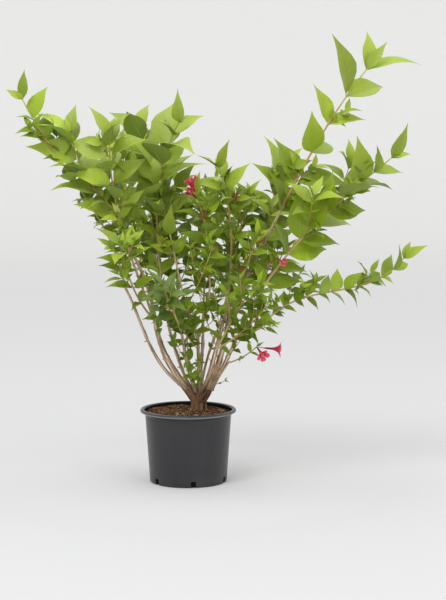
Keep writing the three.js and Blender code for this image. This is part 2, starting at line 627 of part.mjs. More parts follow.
// The leaves of a shoot: opposite pairs, each a swing from the next, closer, smaller and more upright
// towards the tip.
function shootLeaves(row, random) {
  const { line, pairs, bare: foot, leaf, turn } = row;
  const { swing, lean, crowding, tip } = { ...PAIRS, ...row };
  const frames = [];
  for (let i = 0; i <= pairs; i++) {
    const u = i / pairs;
    const t = foot + (PAIRS.lastAt - foot) * (1 - (1 - u) ** crowding);
    const toTip = pairs - i;
    const turned = turn + Math.floor(toTip / 2) * 180 + (toTip % 2) * swing;
    const angle = (turned + (random() - 0.5) * PAIRS.twist + (row.turns?.[i] ?? 0)) * DEGREE;
    const wave = Math.sin(Math.PI * (PAIRS.sizeWave[0] + PAIRS.sizeWave[1] * u));
    const shrink = 1 - (1 - tip) * u ** PAIRS.tipPower;
    const size = (PAIRS.size[0] + PAIRS.size[1] * wave) * shrink;
    const closing = (LEAF.mostOpen - LEAF.leastOpen) * u ** PAIRS.closingPower;
    const open = lean * (LEAF.mostOpen - closing);
    const { along, across, over } = axesAt(line, t);
    const pair = across.multiplyScalar(Math.cos(angle)).addScaledVector(over, Math.sin(angle));
    const point = line.path.getPoint(t);
    for (const hand of [1, -1]) {
      const share = row.shares?.[i][hand === 1 ? 0 : 1] ?? 1;
      const length = leaf * size * share * drawn(PAIRS.length, random);
      const angleOut = open * drawn(PAIRS.angle, random) * DEGREE;
      const towards = pair.clone().multiplyScalar(hand);
      frames.push(leafFrame(point, along, towards, angleOut, length, random));
    }
  }
  return frames;
}

// The side twigs of a mass: first its forks of named size, then seeded ones that leave the shoot at
// turning angles, lean away from it and bend up.
function sideTwigs(mass, random) {
  const twig = (t, row) => ({
    bare: SIDE_TWIG.bare,
    ...row,
    radius: (mass.radius + (TWIG.tipRadius - mass.radius) * t) * SIDE_TWIG.radius,
    line: limbLine(mass.line.path.getPoint(t), row),
  });
  const forks = (mass.forks ?? []).map((fork) => twig(fork.at, fork));
  const seededTwigs = Array.from({ length: mass.twigs }, (_, i) => {
    const place = (i + drawn(SIDE_TWIG.place, random)) / mass.twigs;
    const t = mass.bare + (SIDE_TWIG.lastAt - mass.bare) * place;
    const turnedBy = SIDE_TWIG.firstTurn + i * SIDE_TWIG.turn + SIDE_TWIG.turnChance * random();
    const angle = (mass.turn + turnedBy) * DEGREE;
    const share = drawn(SIDE_TWIG.length, random) * (1 - SIDE_TWIG.shortening * t);
    const length = Math.min(SIDE_TWIG.longestShoot, mass.line.length) * share;
    const { along, across, over } = axesAt(mass.line, t);
    const away = across.multiplyScalar(Math.cos(angle)).addScaledVector(over, Math.sin(angle));
    const heading = vec(0, 0, SIDE_TWIG.upward).addScaledVector(along, SIDE_TWIG.along);
    heading.addScaledVector(away, SIDE_TWIG.away).setLength(length);
    return twig(t, {
      bearing: Math.atan2(heading.y, heading.x) / DEGREE,
      reach: Math.hypot(heading.x, heading.y),
      rise: heading.z,
      bow: SIDE_TWIG.bow,
      pairs: Math.max(2, Math.round(length / SIDE_TWIG.pairEvery)),
      leaf: mass.leaf * drawn(SIDE_TWIG.leaf, random),
      turn: 90 * random(),
    });
  });
  return [...forks, ...seededTwigs];
}

const PROBE_FROM = 0.14; // share of a leaf that its probe leaves out at the root
const PROBE_GROW = 0.45;

// A leaf grows if its blade is clear of everything but its own twig, and its root of other nodes.
function growLeaf(mass, frame, part) {
  const blade = leafSolid(frame, PROBE_FROM, PROBE_GROW);
  const whole = leafSolid(frame, 0, CLEARANCE);
  const onOwnTwig = (other) => other.node === mass.name && other.part === part;
  const onOwnNode = (other) => other.node === mass.name;
  if (!isClear(blade, onOwnTwig) || !isClear(whole, onOwnNode)) return;
  const leaf = leafSolid(frame);
  mass.parts.push(leaf);
  remember(leaf, mass.name, "leaf");
}

for (const mass of MASSES) {
  const random = seeded(mass.seed);
  mass.leaves = shootLeaves(mass, random);
  mass.twigs = sideTwigs(mass, random).filter((twig, i) => {
    twig.part = "twig" + i;
    twig.leaves = shootLeaves(twig, random);
    const radii = [twig.radius, TWIG.tipRadius];
    const probe = limb(twig.line, radii, TWIG, CLEARANCE);
    const onShoot = (other) => other.node === mass.name && other.part === "shoot";
    if (!isClear(probe, onShoot) || !inOwnSpace(mass, twig.line.path.getPoint(1))) return false;
    const wood = limb(twig.line, radii, TWIG);
    mass.parts.push(wood);
    remember(wood, mass.name, twig.part);
    return true;
  });
  for (const { at, bearing, pitch, neck = FLOWER.neck } of mass.flowers ?? []) {
    const flat = Math.cos(pitch * DEGREE);
    const along = vec(Math.cos(bearing * DEGREE) * flat, Math.sin(bearing * DEGREE) * flat, 0);
    along.z = Math.sin(pitch * DEGREE);
    const flower = flowerSolid(mass.line.path.getPoint(at), along, neck);
    mass.parts.push(flower);
    remember(flower, mass.name, "flower");
  }
}
for (const mass of MASSES) {
  for (const frame of mass.leaves) growLeaf(mass, frame, "shoot");
}
for (const mass of MASSES) {
  for (const twig of mass.twigs) {
    for (const frame of twig.leaves) growLeaf(mass, frame, twig.part);
  }
}

// ---------------------------------------------------------------- the assembly

const group = new THREE.Group();
group.add(meshOf("pot", potSolid(), FINISHES.pot));
group.add(meshOf("soil", soilSolid(), FINISHES.soil));
group.add(meshOf("stool", stool, FINISHES.stool));
for (const stem of STEMS) group.add(meshOf(stem.name, stem.solid, FINISHES.bark));
for (const mass of MASSES) {
  group.add(meshOf(mass.name, largest(wasm.Manifold.union(mass.parts)), FINISHES.foliage));
}

export default group;
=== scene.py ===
"""A weigela in its nursery pot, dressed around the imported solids.

The tables are in millimetres and degrees, and the meshes in metres. +Z is up, -Y is the front and
the origin is the centre of the pot's flat underside.
"""

import math

import bpy
import numpy as np
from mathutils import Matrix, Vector


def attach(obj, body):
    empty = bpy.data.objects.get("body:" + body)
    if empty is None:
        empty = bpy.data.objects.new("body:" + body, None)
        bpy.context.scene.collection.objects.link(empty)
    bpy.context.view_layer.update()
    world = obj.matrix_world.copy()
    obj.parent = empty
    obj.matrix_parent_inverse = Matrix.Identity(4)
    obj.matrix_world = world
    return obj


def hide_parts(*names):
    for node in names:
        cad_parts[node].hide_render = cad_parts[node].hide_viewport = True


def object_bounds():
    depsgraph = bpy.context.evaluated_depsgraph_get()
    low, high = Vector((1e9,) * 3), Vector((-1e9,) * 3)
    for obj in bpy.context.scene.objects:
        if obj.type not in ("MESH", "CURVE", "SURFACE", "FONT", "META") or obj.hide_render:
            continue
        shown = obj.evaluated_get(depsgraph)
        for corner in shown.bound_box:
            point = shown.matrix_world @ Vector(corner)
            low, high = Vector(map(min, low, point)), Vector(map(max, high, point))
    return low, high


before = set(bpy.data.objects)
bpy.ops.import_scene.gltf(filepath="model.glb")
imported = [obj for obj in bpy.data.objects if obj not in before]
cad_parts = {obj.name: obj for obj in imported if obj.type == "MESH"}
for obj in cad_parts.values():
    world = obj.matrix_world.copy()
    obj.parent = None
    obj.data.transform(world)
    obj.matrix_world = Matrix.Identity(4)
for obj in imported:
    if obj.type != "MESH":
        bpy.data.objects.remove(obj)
cad_low, cad_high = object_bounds()

MM = 0.001
UP = np.array([0.0, 0.0, 1.0])

# ---------------------------------------------------------------- sizes of the pot and its soil

POT = {
    "height": 172, "rim_radius": 113, "mouth_radius": 102, "foot_radius": 91, "wall": 2,
    "lip_height": 7.6, "facets": 216, "slots": 6, "slot_width": 12, "slot_height": 15,
    "slot_depth": 12, "first_slot": 8.5,
}
INSIDE = {"foot_in": 2.2, "shoulder_in": 3, "from": 2, "to": 151}  # the wall's inner face
SOIL = {
    "top": 164.5, "mound": 3.5, "mound_reach": 34, "edge_from": 80, "edge_over": 18,
    "edge_drop": 7.5, "relief": 1.9, "rim": 149, "facets": 260, "rings": 84,
}
CHIPS = {"count": 2600, "reach": 97}

# ---------------------------------------------------------------- sizes of the wood

STOOL = {
    "foot": (24, 18, 165.8), "top": (25, 17, 203), "flare_radius": 19.5, "waist_radius": 16.5,
    "top_radius": 18, "flare_height": 5, "flare_power": 1.6, "arm_root": 14, "sunk": 3,
    "rings": 46, "facets": 110,
}
ARMS = {
    "left": dict(bearing=-171, reach=30, rise=36, bow=0.08, radii=(15, 10)),
    "middle": dict(bearing=100, reach=12, rise=26, radii=(12, 9)),
    "right": dict(bearing=-20, reach=24, rise=34, bow=0.1, radii=(15, 11.5)),
    "front": dict(bearing=-100, reach=16, rise=26, bow=0.05, radii=(12, 8)),
}
TIP_RADIUS = 1.3
STUBS, SLIVERS = 22, 40


def table(columns, rows):
    """Each row by its name, as a dictionary of its columns. The last columns may be left out."""
    return {name: dict(zip(columns.split(), row)) for name, row in rows.items()}


# A stem leaves an arm of the stool, or another stem's tip, at an offset from it, and ends where its
# foliage begins. bearing is a compass angle from +X towards +Y, and reach and rise give the tip.
STEMS = table("on offset radii bearing reach rise bow curl sway", {
    "stem_far_left": ("left", (-2, -3, -6), (4.2, 2.8), -170, 141, 240, 0.135, 0.07, -0.02),
    "stem_left": ("left", (2, 1, -6), (8.6, 5), -169, 76, 164, 0.15, 0, -0.04),
    "stem_left_back": ("left", (8, 9, -6), (4.4, 3.2), 148, 66, 165, 0.06, 0, 0.01),
    "stem_middle_thin": ("front", (-6, 4, -4), (2.8, 2.3), -140, 18, 76, 0.06),
    "stem_middle": ("front", (3, 0, -4), (4.6, 3.6), -97, 18, 136, -0.01),
    "stem_middle_left_fork": ("stem_middle", (-1, 0, -3), (3.3, 2.6), -158, 28, 72, -0.04, 0,
        0.03),
    "stem_middle_right_fork": ("stem_middle", (2, 1, -3), (2.9, 2.4), 4, 27, 122, 0.06),
    "stem_grey": ("middle", (5, 2, -5), (3.3, 2.6), 48, 60, 140, -0.07, 0, 0.01),
    "stem_right_inner": ("right", (-8, 4, -5), (5.6, 4.2), -13, 45, 165, 0.02, 0, -0.01),
    "stem_right": ("right", (1, -1, -6), (7.4, 4.8), -6, 49, 200, 0.09, 0, -0.02),
    "stem_right_outer": ("right", (6, -6, -6), (5.2, 3.8), -18, 67, 132, 0.03, 0, -0.01),
    "stem_right_low": ("stem_right_outer", (1, 0, -4), (3, 2.6), 16, 58, 26, 0.2),
    "stem_flower": ("right", (8, -11, -8), (2.4, 1.9), -14, 44, 72, -0.04, 0, -0.04),
    "stem_back_left": ("middle", (-5, 4, -5), (4.4, 3.2), 128, 66, 180, 0.08, 0, 0.02),
    "stem_back": ("middle", (1, 6, -5), (4.4, 3.2), 82, 70, 172, 0.1, 0, -0.02),
    "stem_back_right": ("right", (-1, 9, -6), (4.6, 3.3), 50, 84, 166, 0.1, 0, 0.01),
    "stem_front_left": ("front", (-5, -4, -4), (3.8, 2.8), -122, 58, 150, 0.12, 0, 0.01),
    "stem_front_right": ("front", (5, -5, -4), (3.8, 2.8), -48, 60, 112, 0.12, 0, 0.02),
})

# ---------------------------------------------------------------- the foliage masses

# Each mass grows from one shoot at a stem's tip. pairs counts the shoot's nodes of opposite leaves,
# bare is the share of it without leaves at its foot, leaf is its longest blade, turn is the last
# pair's angle round the shoot, twigs counts the side twigs that the solids have too, fine counts
# the finer ones, and sprigs is the share of nodes with a small shoot in their leaves' axils. lean
# opens the leaves, tip is the last pair's size, crowding closes the pairs up towards the tip, and
# swing is the angle from one pair to the next.
MASSES = table("on seed bearing reach rise bow curl sway pairs bare leaf turn twigs fine sprigs "
               "lean tip crowding swing", {
    "leaves_far_left": ("stem_far_left", 2624, -169, 234, 440, -0.075, -0.064, 0.021, 8, 0.08, 78,
        119, 0, 0, 0.1, 0.88, 0.89, 1.05, 20),
    "leaves_left_outer": ("stem_left", 344, -172, 197, 437, -0.049, -0.078, 0.024, 7, 0.35, 104,
        112, 0, 1, 0.15, 0.88, 0.85, 1.3, 40),
    "leaves_left_front": ("stem_left", 1191, -146, 119, 430, 0.095, -0.031, -0.035, 8, 0.41, 113,
        59, 0, 1, 0.25, 0.99, 0.81, 1.3),
    "leaves_left_low": ("stem_left", 188, -122, 130, 184, 0.083, 0.013, -0.11, 5, 0.29, 83, 26, 0,
        1, 0.3, 1.2, 1.12),
    "leaves_left_back": ("stem_left_back", 4962, 150, 127, 393, -0.038, -0.017, -0.028, 8, 0.14,
        97, 118, 1, 1, 0.3, 0.88, 0.87),
    "leaves_tall_left": ("stem_left_back", 807, -70, 99, 463, -0.094, 0.123, -0.132, 9, 0.23, 116,
        127, 0, 0, 0.2, 0.88, 0.75, 1.1),
    "leaves_low_middle": ("stem_middle_thin", 161, -109, 22, 118, 0.03, 0, -0.012, 5, 0.06, 60, 0,
        0, 1, 0.4, 1.09),
    "leaves_middle_left": ("stem_middle_left_fork", 4766, 142, 140, 406, -0.046, 0.022, -0.011, 8,
        0.3, 116, 133, 1, 1, 0.25, 0.88, 0.87, 1.25),
    "leaves_middle_front": ("stem_middle_left_fork", 253, -45, 82, 136, 0.04, -0.015, 0.007, 4,
        0.39, 54, 64, 0, 1, 0.3, 1.19),
    "leaves_middle_top": ("stem_middle_right_fork", 190, -131, 48, 210, -0.086, 0.036, 0.046, 6,
        0.17, 85, 46, 0, 1, 0.25, 0.97, 0.8, 1.1),
    "leaves_middle_back": ("stem_grey", 222, 24, 84, 325, 0.014, 0.011, -0.007, 8, 0.12, 75, 13, 1,
        3, 0.4, 0.88, 0.75),
    "leaves_right_middle": ("stem_right_inner", 328, -101, 54, 359, -0.092, 0.046, 0.112, 9, 0.21,
        89, 10, 0, 1, 0.25, 1.11, 0.9, 1.15),
    "leaves_tall_right": ("stem_right", 1207, 6, 321, 552, -0.046, 0.027, -0.052, 7, 0.15, 128, 73,
        0, 0, 0.2, 0.88, 0.99, 1, 60),
    "leaves_right_front": ("stem_right", 240, -50, 101, 171, 0.025, 0.019, 0.002, 5, 0.11, 61, 114,
        0, 2, 0.3, 0.93),
    "leaves_right_outer": ("stem_right_outer", 167, -6, 353, 417, -0.133, -0.027, 0.005, 9, 0.24,
        112, 76, 0, 1, 0.2, 0.88, 0.75, 0.95, 50),
    "leaves_right_low": ("stem_right_low", 133, 2, 331, 159, -0.014, -0.179, -0.003, 12, 0.02, 64,
        57, 0, 0, 0.35, 0.88, 0.94, 0.95, 60),
    "flower_twig": ("stem_flower", 35, -29, 71, 42, 0.1, 0, 0, 2, 0.3, 35, 10, 0, 0, 0),
    "leaves_back_left_high": ("stem_back_left", 241, 112, 130, 307, 0.04, 0, 0.015, 7, 0.1, 92, 25,
        1, 4, 0.5, 0.92),
    "leaves_back_left_low": ("stem_back_left", 16, 161, 140, 220, 0.077, 0.001, 0, 6, 0.14, 70, 45,
        1, 3, 0.5, 0.88),
    "leaves_back_high": ("stem_back", 205, 85, 120, 288, 0.04, 0, 0, 7, 0.04, 94, 71, 1, 3, 0.5,
        0.88),
    "leaves_back_low": ("stem_back", 90, 66, 189, 130, 0.12, 0.021, 0, 5, 0.16, 66, -9, 1, 3, 0.5,
        1.15),
    "leaves_back_right_high": ("stem_back_right", 858, 22, 130, 349, 0.082, -0.006, 0.001, 9, 0.12,
        102, 87, 1, 3, 0.5, 0.88, 0.98),
    "leaves_back_right_low": ("stem_back_right", 366, 17, 140, 165, 0.104, 0, 0, 6, 0.15, 64, 45,
        1, 3, 0.5),
    "leaves_front_left": ("stem_front_left", 255, -116, 92, 117, -0.01, -0.017, 0.002, 4, 0.14, 83,
        152, 0, 1, 0.3, 1.2),
    "leaves_front_right": ("stem_front_right", 286, -39, 123, 158, -0.083, 0.033, -0.018, 4, 0.13,
        68, 124, 0, 1, 0.3, 1.08),
    "leaves_front_right_low": ("stem_front_right", 94, -32, 139, 116, 0.1, -0.008, 0.005, 6, 0.09,
        61, 69, 0, 2, 0.4, 1.05, 0.8, 1.4, 60),
})
# Degrees added to a mass's pairs, from the foot on.
TURNS = {
    "leaves_far_left": [-30, 60, 45, 15, 45, 10, 0, -40, -25],
    "leaves_left_outer": [-50, -60, -10, 10, 5, 10, 10, -10],
    "leaves_tall_left": [-20, -20, 0, -60, 30, 10, 5, -30, -10, 40],
    "leaves_tall_right": [10, 60, 20, 10, 0, 5, -5, 10],
    "leaves_right_outer": [-30, 35, 0, 45, 10, 60, 60, 50, 5, 45],
    "leaves_right_low": [-5, 0, 0, 10, 0, 0, 10, -15, -45, 30, 0, 40, -35],
}
# Sizes of each pair's two leaves over the rule's, from the foot on.
SHARES = {
    "leaves_far_left": [(1, 1.1), (1, 0.6), (0.6, 0.8), (1.05, 0.75), (1.25, 1.15), (0.6, 1.25),
        (0.95, 1.05), (1.25, 0.6), (1.2, 0.7)],
    "leaves_left_outer": [(1, 1), (0.65, 1), (1.25, 1), (1.2, 1), (1.25, 1.1), (1.25, 0.7),
        (1.05, 1.25), (1, 1.2)],
    "leaves_tall_left": [(0.95, 1.1), (1.15, 1.05), (0.95, 0.7), (1.2, 1), (1.1, 1), (1, 1),
        (0.9, 1.15), (1.2, 1.25), (1, 0.9), (1, 0.6)],
    "leaves_tall_right": [(1, 1), (1.25, 0.85), (1.1, 1.1), (1.05, 1.2), (0.75, 0.85), (0.8, 0.85),
        (1.25, 1.1), (0.95, 1.15)],
    "leaves_right_outer": [(1, 1.25), (0.95, 1.1), (1.15, 1.1), (1.05, 1.25), (1.2, 1.25),
        (1, 1.1), (1.2, 1.25), (1, 1.25), (0.8, 0.95), (1.25, 0.7)],
    "leaves_right_low": [(1, 1), (0.8, 1), (0.8, 1), (1, 0.65), (1.25, 0.8), (0.75, 1.1),
        (0.85, 1.25), (1.1, 1), (1.2, 0.9), (1, 1), (0.6, 1.25), (1.25, 1.2), (1, 1.2)],
}
FORKS = {
    "leaves_right_outer": [dict(at=0.7, bearing=-20, reach=34, rise=98, pairs=3, leaf=80, turn=90)],
}
# The open outer shoots, whose leaves keep their size low down and have few sprigs between them.
OUTER = ("leaves_far_left", "leaves_tall_right", "leaves_right_outer", "leaves_right_low")

# Thin sprouts from the old wood: their stem, the share of it where they leave, their tip, pairs,
# leaf and turn, and the share of them that is bare.
SPROUTS = [
    ("stem_flower", 0.2, (86, -16, 240), 1, 15),
    ("stem_middle_thin", 0.3, (8, -46, 268), 3, 34, 20),
    ("stem_middle", 0.12, (22, -40, 250), 2, 28, 60),
    ("stem_middle", 0.35, (-2, -42, 300), 2, 36, 0),
    ("stem_middle", 0.5, (26, -46, 290), 1, 34),
    ("stem_middle_thin", 0.8, (-30, -46, 342), 2, 32),
    ("stem_middle", 0.75, (-14, -66, 372), 2, 44),
    ("stem_middle_right_fork", 0.4, (48, -52, 418), 2, 48),
    ("stem_grey", 0.5, (70, 20, 360), 2, 34),
    ("stem_right_inner", 0.75, (112, -10, 432), 2, 48),
    ("stem_right_outer", 0.62, (128, -52, 352), 2, 36),
    ("stem_right_outer", 0.85, (146, -58, 414), 2, 46),
    ("stem_left", 0.8, (-62, -52, 402), 2, 50),
    ("stem_left_back", 0.7, (-18, 52, 392), 2, 48),
    ("stem_middle_left_fork", 0.7, (-34, -88, 436), 2, 66),
    ("stem_right", 0.5, (64, -58, 452), 2, 26, 90, 0.6),
    ("stem_right", 0.72, (122, -48, 500), 2, 28, 90, 0.6),
    ("stem_right_inner", 0.6, (22, -52, 470), 2, 28, 90, 0.62),
    ("stem_middle_right_fork", 0.1, (78, -62, 410), 2, 26, 90, 0.6),
    ("stem_middle_right_fork", 0.6, (2, -66, 505), 2, 30, 90, 0.6),
    ("stem_middle_left_fork", 0.3, (-84, -62, 452), 2, 30, 90, 0.6),
    ("stem_left", 0.9, (-108, -50, 480), 2, 32, 90, 0.6),
    ("stem_right_outer", 0.75, (118, -70, 468), 2, 28, 90, 0.6),
]

# Radius of the first, second and third shoot from one stem's tip, over the stem's own.
SHOOT_SHARES = (0.92, 0.66, 0.56)
SHOOT_ROOT = 4  # depth that a shoot starts in its stem
SPACE_SAMPLES = 12
REACH_MARGIN = 4.0

# The leaves turn their upper sides outward from a line behind the crown's middle.
CORE = {"x": 25, "y": 170, "flatten": 0.25}
FACING = {"along": 0.2, "outward": 0.58, "upward": 0.62, "chance": 0.6}
OPEN = (30, 54)  # a leaf's least and most angle from its twig

# What varies by chance is given as its least value and its extent.
PAIR = {"last_at": 0.995, "wander": 26, "length": (0.88, 0.2), "angle": (0.86, 0.28)}
BUD = {"angle": 0.42, "leaf": (0.36, 0.22)}
SIDE_TWIG = {
    "last_at": 0.72, "place": (0.3, 0.4), "share": (0.5, 0.2), "longest": 220, "leaf": (0.74, 0.14),
    "upward": 0.2, "along": 0.8, "away": 0.7, "pair_every": 40, "bow": 0.08, "bare": 0.25,
    "radius": 0.8,
}
FINER = {"seed": 500, "leaf": 0.92, "radius": 0.7}
SPRIG = {
    "length": (26, 34), "leaf": (0.85, 0.35), "along": 0.8, "away": 0.55, "upward": 0.25,
    "two_pairs_from": 36, "radius": 1.0, "more": 0.45, "low": (740, 160),
}
SPROUT = {"seed": 300, "radius": 1.1, "turn": 90, "bare": 0.35}
LOW_LEAVES = {"low": (800, 320), "outer": 0.3, "breadth": (1.08, 0.8), "length": (1, 0.88)}

# ---------------------------------------------------------------- chance and noise

MASK = 0xFFFFFFFF


class Chance:
    """The 32-bit mixing generator that the solids use, so that one seed grows the same shoot."""

    def __init__(self, seed):
        self.state = (seed * 0x9E3779B1) & MASK

    def __call__(self):
        self.state = (self.state + 0x6D2B79F5) & MASK
        t = self.state
        t = ((t ^ (t >> 15)) * (t | 1)) & MASK
        t ^= (t + (t ^ (t >> 7)) * (t | 61)) & MASK
        return ((t ^ (t >> 14)) & MASK) / 2**32

    def between(self, least, extent):
        return least + extent * self()


def corner_values(cells):
    """A fixed value from 0 to 1 for each lattice point, by whole-number mixing of its indices."""
    x, y, z = (cells[..., i].astype(np.int64) & MASK for i in range(3))
    h = (x * 374761393 + y * 668265263 + z * 2147483647) & MASK
    h = ((h ^ (h >> 13)) * 1274126177) & MASK
    return ((h ^ (h >> 16)) & 0xFFFF) / 0xFFFF


def noise(points, scale, octaves=3):
    """Smooth noise about 0: lattice values blended in each cell by 3t^2 - 2t^3, each octave about
    twice as fine and half as strong as the last."""
    total, weight, p = 0.0, 1.0, np.asarray(points) * scale
    for _ in range(octaves):
        cell = np.floor(p)
        t = p - cell
        t = t * t * (3 - 2 * t)
        value = 0.0
        for corner in np.ndindex(2, 2, 2):
            share = np.prod(np.where(np.array(corner) == 1, t, 1 - t), axis=-1)
            value = value + share * corner_values(cell + corner)
        total = total + weight * (value - 0.5)
        weight, p = weight * 0.5, p * 2.03 + 17.1
    return total


def blend(start, end, t):
    """From start to end, evenly by t."""
    return start + (end - start) * t


def clamp(value, least=0, most=1):
    return np.clip(value, least, most)


def below(value, level, over):
    """0 above a level, and 1 from an extent below it, even between."""
    return clamp((level - value) / over)


def rounded(t, start, extent, least):
    """1 up to a start, then down as a quarter circle over an extent, at least to a least share."""
    return np.sqrt(clamp(1 - clamp((t - start) / extent) ** 2, least))


def swelling(run, centre, width):
    """1 at a centre, and away from it as a bell curve."""
    return np.exp(-((run - centre) / width) ** 2)


def turn_in(count):
    """Angles that share a full turn."""
    return np.linspace(0, 2 * math.pi, count, endpoint=False)


# ---------------------------------------------------------------- meshes from arrays


def closed(grid, marks=None, flip=False, poles=None):
    """Closed forms from a grid of copies x rows x ring corners, one after the other: a quad for
    each step along and round, and a fan of triangles on a pole at either end. The poles are the
    middles of the first and the last ring, unless given. Returns corners, faces and marks."""
    copies, rows, ring, _ = grid.shape
    base = (np.arange(copies) * (rows * ring + 2))[:, None, None]
    i = np.arange(rows - 1)[None, :, None] * ring
    j = np.arange(ring)[None, None, :]
    k = (j + 1) % ring
    quads = np.stack([base + i + j, base + i + k, base + i + ring + k, base + i + ring + j], -1)
    j, k, base = j[0], k[0], base[:, 0]
    foot, tip, last = base + rows * ring, base + rows * ring + 1, base + (rows - 1) * ring
    fans = [np.stack(np.broadcast_arrays(foot, base + k, base + j), -1),
            np.stack(np.broadcast_arrays(tip, last + j, last + k), -1)]
    faces = [quads.reshape(-1, 4), np.concatenate(fans).reshape(-1, 3)]

    def with_poles(values, ends=None):
        ends = ends or (values[:, 0].mean(1), values[:, -1].mean(1))
        flat = values.reshape(copies, rows * ring, -1)
        return np.concatenate([flat, ends[0][:, None], ends[1][:, None]], 1).reshape(-1, 3)

    corners = with_poles(grid, poles)
    marks = np.zeros_like(corners) if marks is None else with_poles(marks)
    return corners, [f[:, ::-1] for f in faces] if flip else faces, marks


def joined(parts):
    """One list of corners, faces and marks from several."""
    corners, faces, marks, count = [], [], [], 0
    for part_corners, part_faces, part_marks in parts:
        corners.append(part_corners)
        marks.append(part_marks)
        faces += [f + count for f in part_faces]
        count += len(part_corners)
    return np.concatenate(corners), faces, np.concatenate(marks)


def piece(name, part, material, slot, stands_for=(), marked=False, sharp=50.0, flat=False,
          second=None):
    """A mesh object from corners in millimetres and lists of faces. Where it is marked, the part's
    third list is a vector at each corner that the material reads. Edges sharper than an angle keep
    a crease, and second gives another material and whether each face has it."""
    corners, faces, marks = part
    mesh = bpy.data.meshes.new(name)
    corners = np.asarray(corners, float) * MM
    loops = np.concatenate([f.ravel() for f in faces])
    sizes = np.concatenate([np.full(len(f), f.shape[1]) for f in faces])
    starts = np.concatenate([[0], np.cumsum(sizes)[:-1]])
    mesh.vertices.add(len(corners))
    mesh.vertices.foreach_set("co", corners.astype(np.float32).ravel())
    mesh.loops.add(len(loops))
    mesh.loops.foreach_set("vertex_index", loops.astype(np.int32))
    mesh.polygons.add(len(sizes))
    mesh.polygons.foreach_set("loop_start", starts.astype(np.int32))
    mesh.update(calc_edges=True)
    if marked:
        layer = mesh.attributes.new("grain", "FLOAT_VECTOR", "POINT")
        layer.data.foreach_set("vector", np.asarray(marks, np.float32).ravel())
    mesh.materials.append(material)
    if second:
        mesh.materials.append(second[0])
        mesh.polygons.foreach_set("material_index", second[1].astype(np.int32))
    if not flat:
        mesh.shade_smooth()
        mesh.set_sharp_from_angle(angle=math.radians(sharp))
    made = bpy.data.objects.new(name, mesh)
    bpy.context.scene.collection.objects.link(made)
    if slot:
        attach(made, "root")
        if stands_for:
            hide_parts(*stands_for)
    return made


# ---------------------------------------------------------------- shaders


def maths(operation, swapped=False):
    """A method that adds a Math node, with its inputs the other way round if swapped."""

    def method(self, *others):
        inputs = (self, *others)[::-1 if swapped else 1]
        return self.net.add("ShaderNodeMath", {"operation": operation}, dict(enumerate(inputs)))[0]

    return method


class Value:
    """A socket in a material. Arithmetic on it adds Math nodes."""

    def __init__(self, net, socket):
        self.net, self.socket = net, socket

    __add__ = __radd__ = maths("ADD")
    __mul__ = __rmul__ = maths("MULTIPLY")
    __sub__, __rsub__ = maths("SUBTRACT"), maths("SUBTRACT", swapped=True)
    __pow__, sine = maths("POWER"), maths("SINE")

    def over(self, least, most):
        """0 below least, 1 above most, and even between."""
        inputs = {"Value": self, "From Min": least, "From Max": most}
        return self.net.add("ShaderNodeMapRange", {"clamp": True}, inputs)["Result"]


class Outputs:
    """The outputs of one node, by name or place."""

    def __init__(self, net, node):
        self.net, self.node = net, node

    def __getitem__(self, key):
        return Value(self.net, self.node.outputs[key])


class Net:
    """A material's nodes."""

    def __init__(self, name, **shader):
        self.material = bpy.data.materials.new(name)
        self.material.use_nodes = True
        self.tree = self.material.node_tree
        self.shader = self.tree.nodes["Principled BSDF"]
        for socket, value in shader.items():
            self.feed(socket.replace("_", " "), value)

    def add(self, kind, settings=None, inputs=None):
        node = self.tree.nodes.new(kind)
        for name, value in (settings or {}).items():
            setattr(node, name, value)
        for name, value in (inputs or {}).items():
            self.join(node.inputs[name], value)
        return Outputs(self, node)

    def join(self, socket, value):
        if isinstance(value, Value):
            self.tree.links.new(value.socket, socket)
        else:
            socket.default_value = value

    def feed(self, name, value):
        self.join(self.shader.inputs[name], value)

    def colour(self, value):
        self.feed("Base Color", value)

    def place(self):
        return self.add("ShaderNodeTexCoord")["Object"]

    def parts(self, vector):
        node = self.add("ShaderNodeSeparateXYZ", {}, {0: vector})
        return node["X"], node["Y"], node["Z"]

    def mark(self):
        """The vector that each corner carries, and its three numbers."""
        vector = self.add("ShaderNodeAttribute", {"attribute_name": "grain"})["Vector"]
        return vector, *self.parts(vector)

    def stretched(self, vector, scale):
        settings = {"operation": "MULTIPLY"}
        return self.add("ShaderNodeVectorMath", settings, {0: vector, 1: scale})["Vector"]

    def length(self, vector):
        return self.add("ShaderNodeVectorMath", {"operation": "LENGTH"}, {0: vector})["Value"]

    def noise(self, vector, scale, detail=3.0, rough=0.55):
        inputs = {"Vector": vector, "Scale": scale, "Detail": detail, "Roughness": rough}
        return self.add("ShaderNodeTexNoise", {}, inputs)["Fac"]

    def mix(self, share, first, second):
        return self.add("ShaderNodeMix", {"data_type": "RGBA"}, {0: share, 6: first, 7: second})[2]

    def bump(self, height, distance, strength=1.0):
        inputs = {"Height": height, "Distance": distance, "Strength": strength}
        self.feed("Normal", self.add("ShaderNodeBump", {}, inputs)["Normal"])


def tone(red, green, blue):
    """A colour on screen, from 0 to 255, as the linear colour that a shader takes."""
    share = [c / 255 for c in (red, green, blue)]
    linear = [c / 12.92 if c <= 0.04045 else ((c + 0.055) / 1.055) ** 2.4 for c in share]
    return (*linear, 1.0)


def scaled(colour, share):
    return tuple(c * share for c in colour[:3]) + (1.0,)


def mottled(name, first, second, scale, between=(0.0, 1.0), detail=2.0, share=1.0, relief=None,
            **shader):
    """A skin that goes from one colour to another as noise rises between two values. relief is the
    height that the same noise gives it."""
    net = Net(name, **shader)
    spots = net.noise(net.place(), scale, detail)
    net.colour(net.mix(spots.over(*between) * share, first, second))
    if relief:
        net.bump(spots, relief, 0.6)
    return net.material


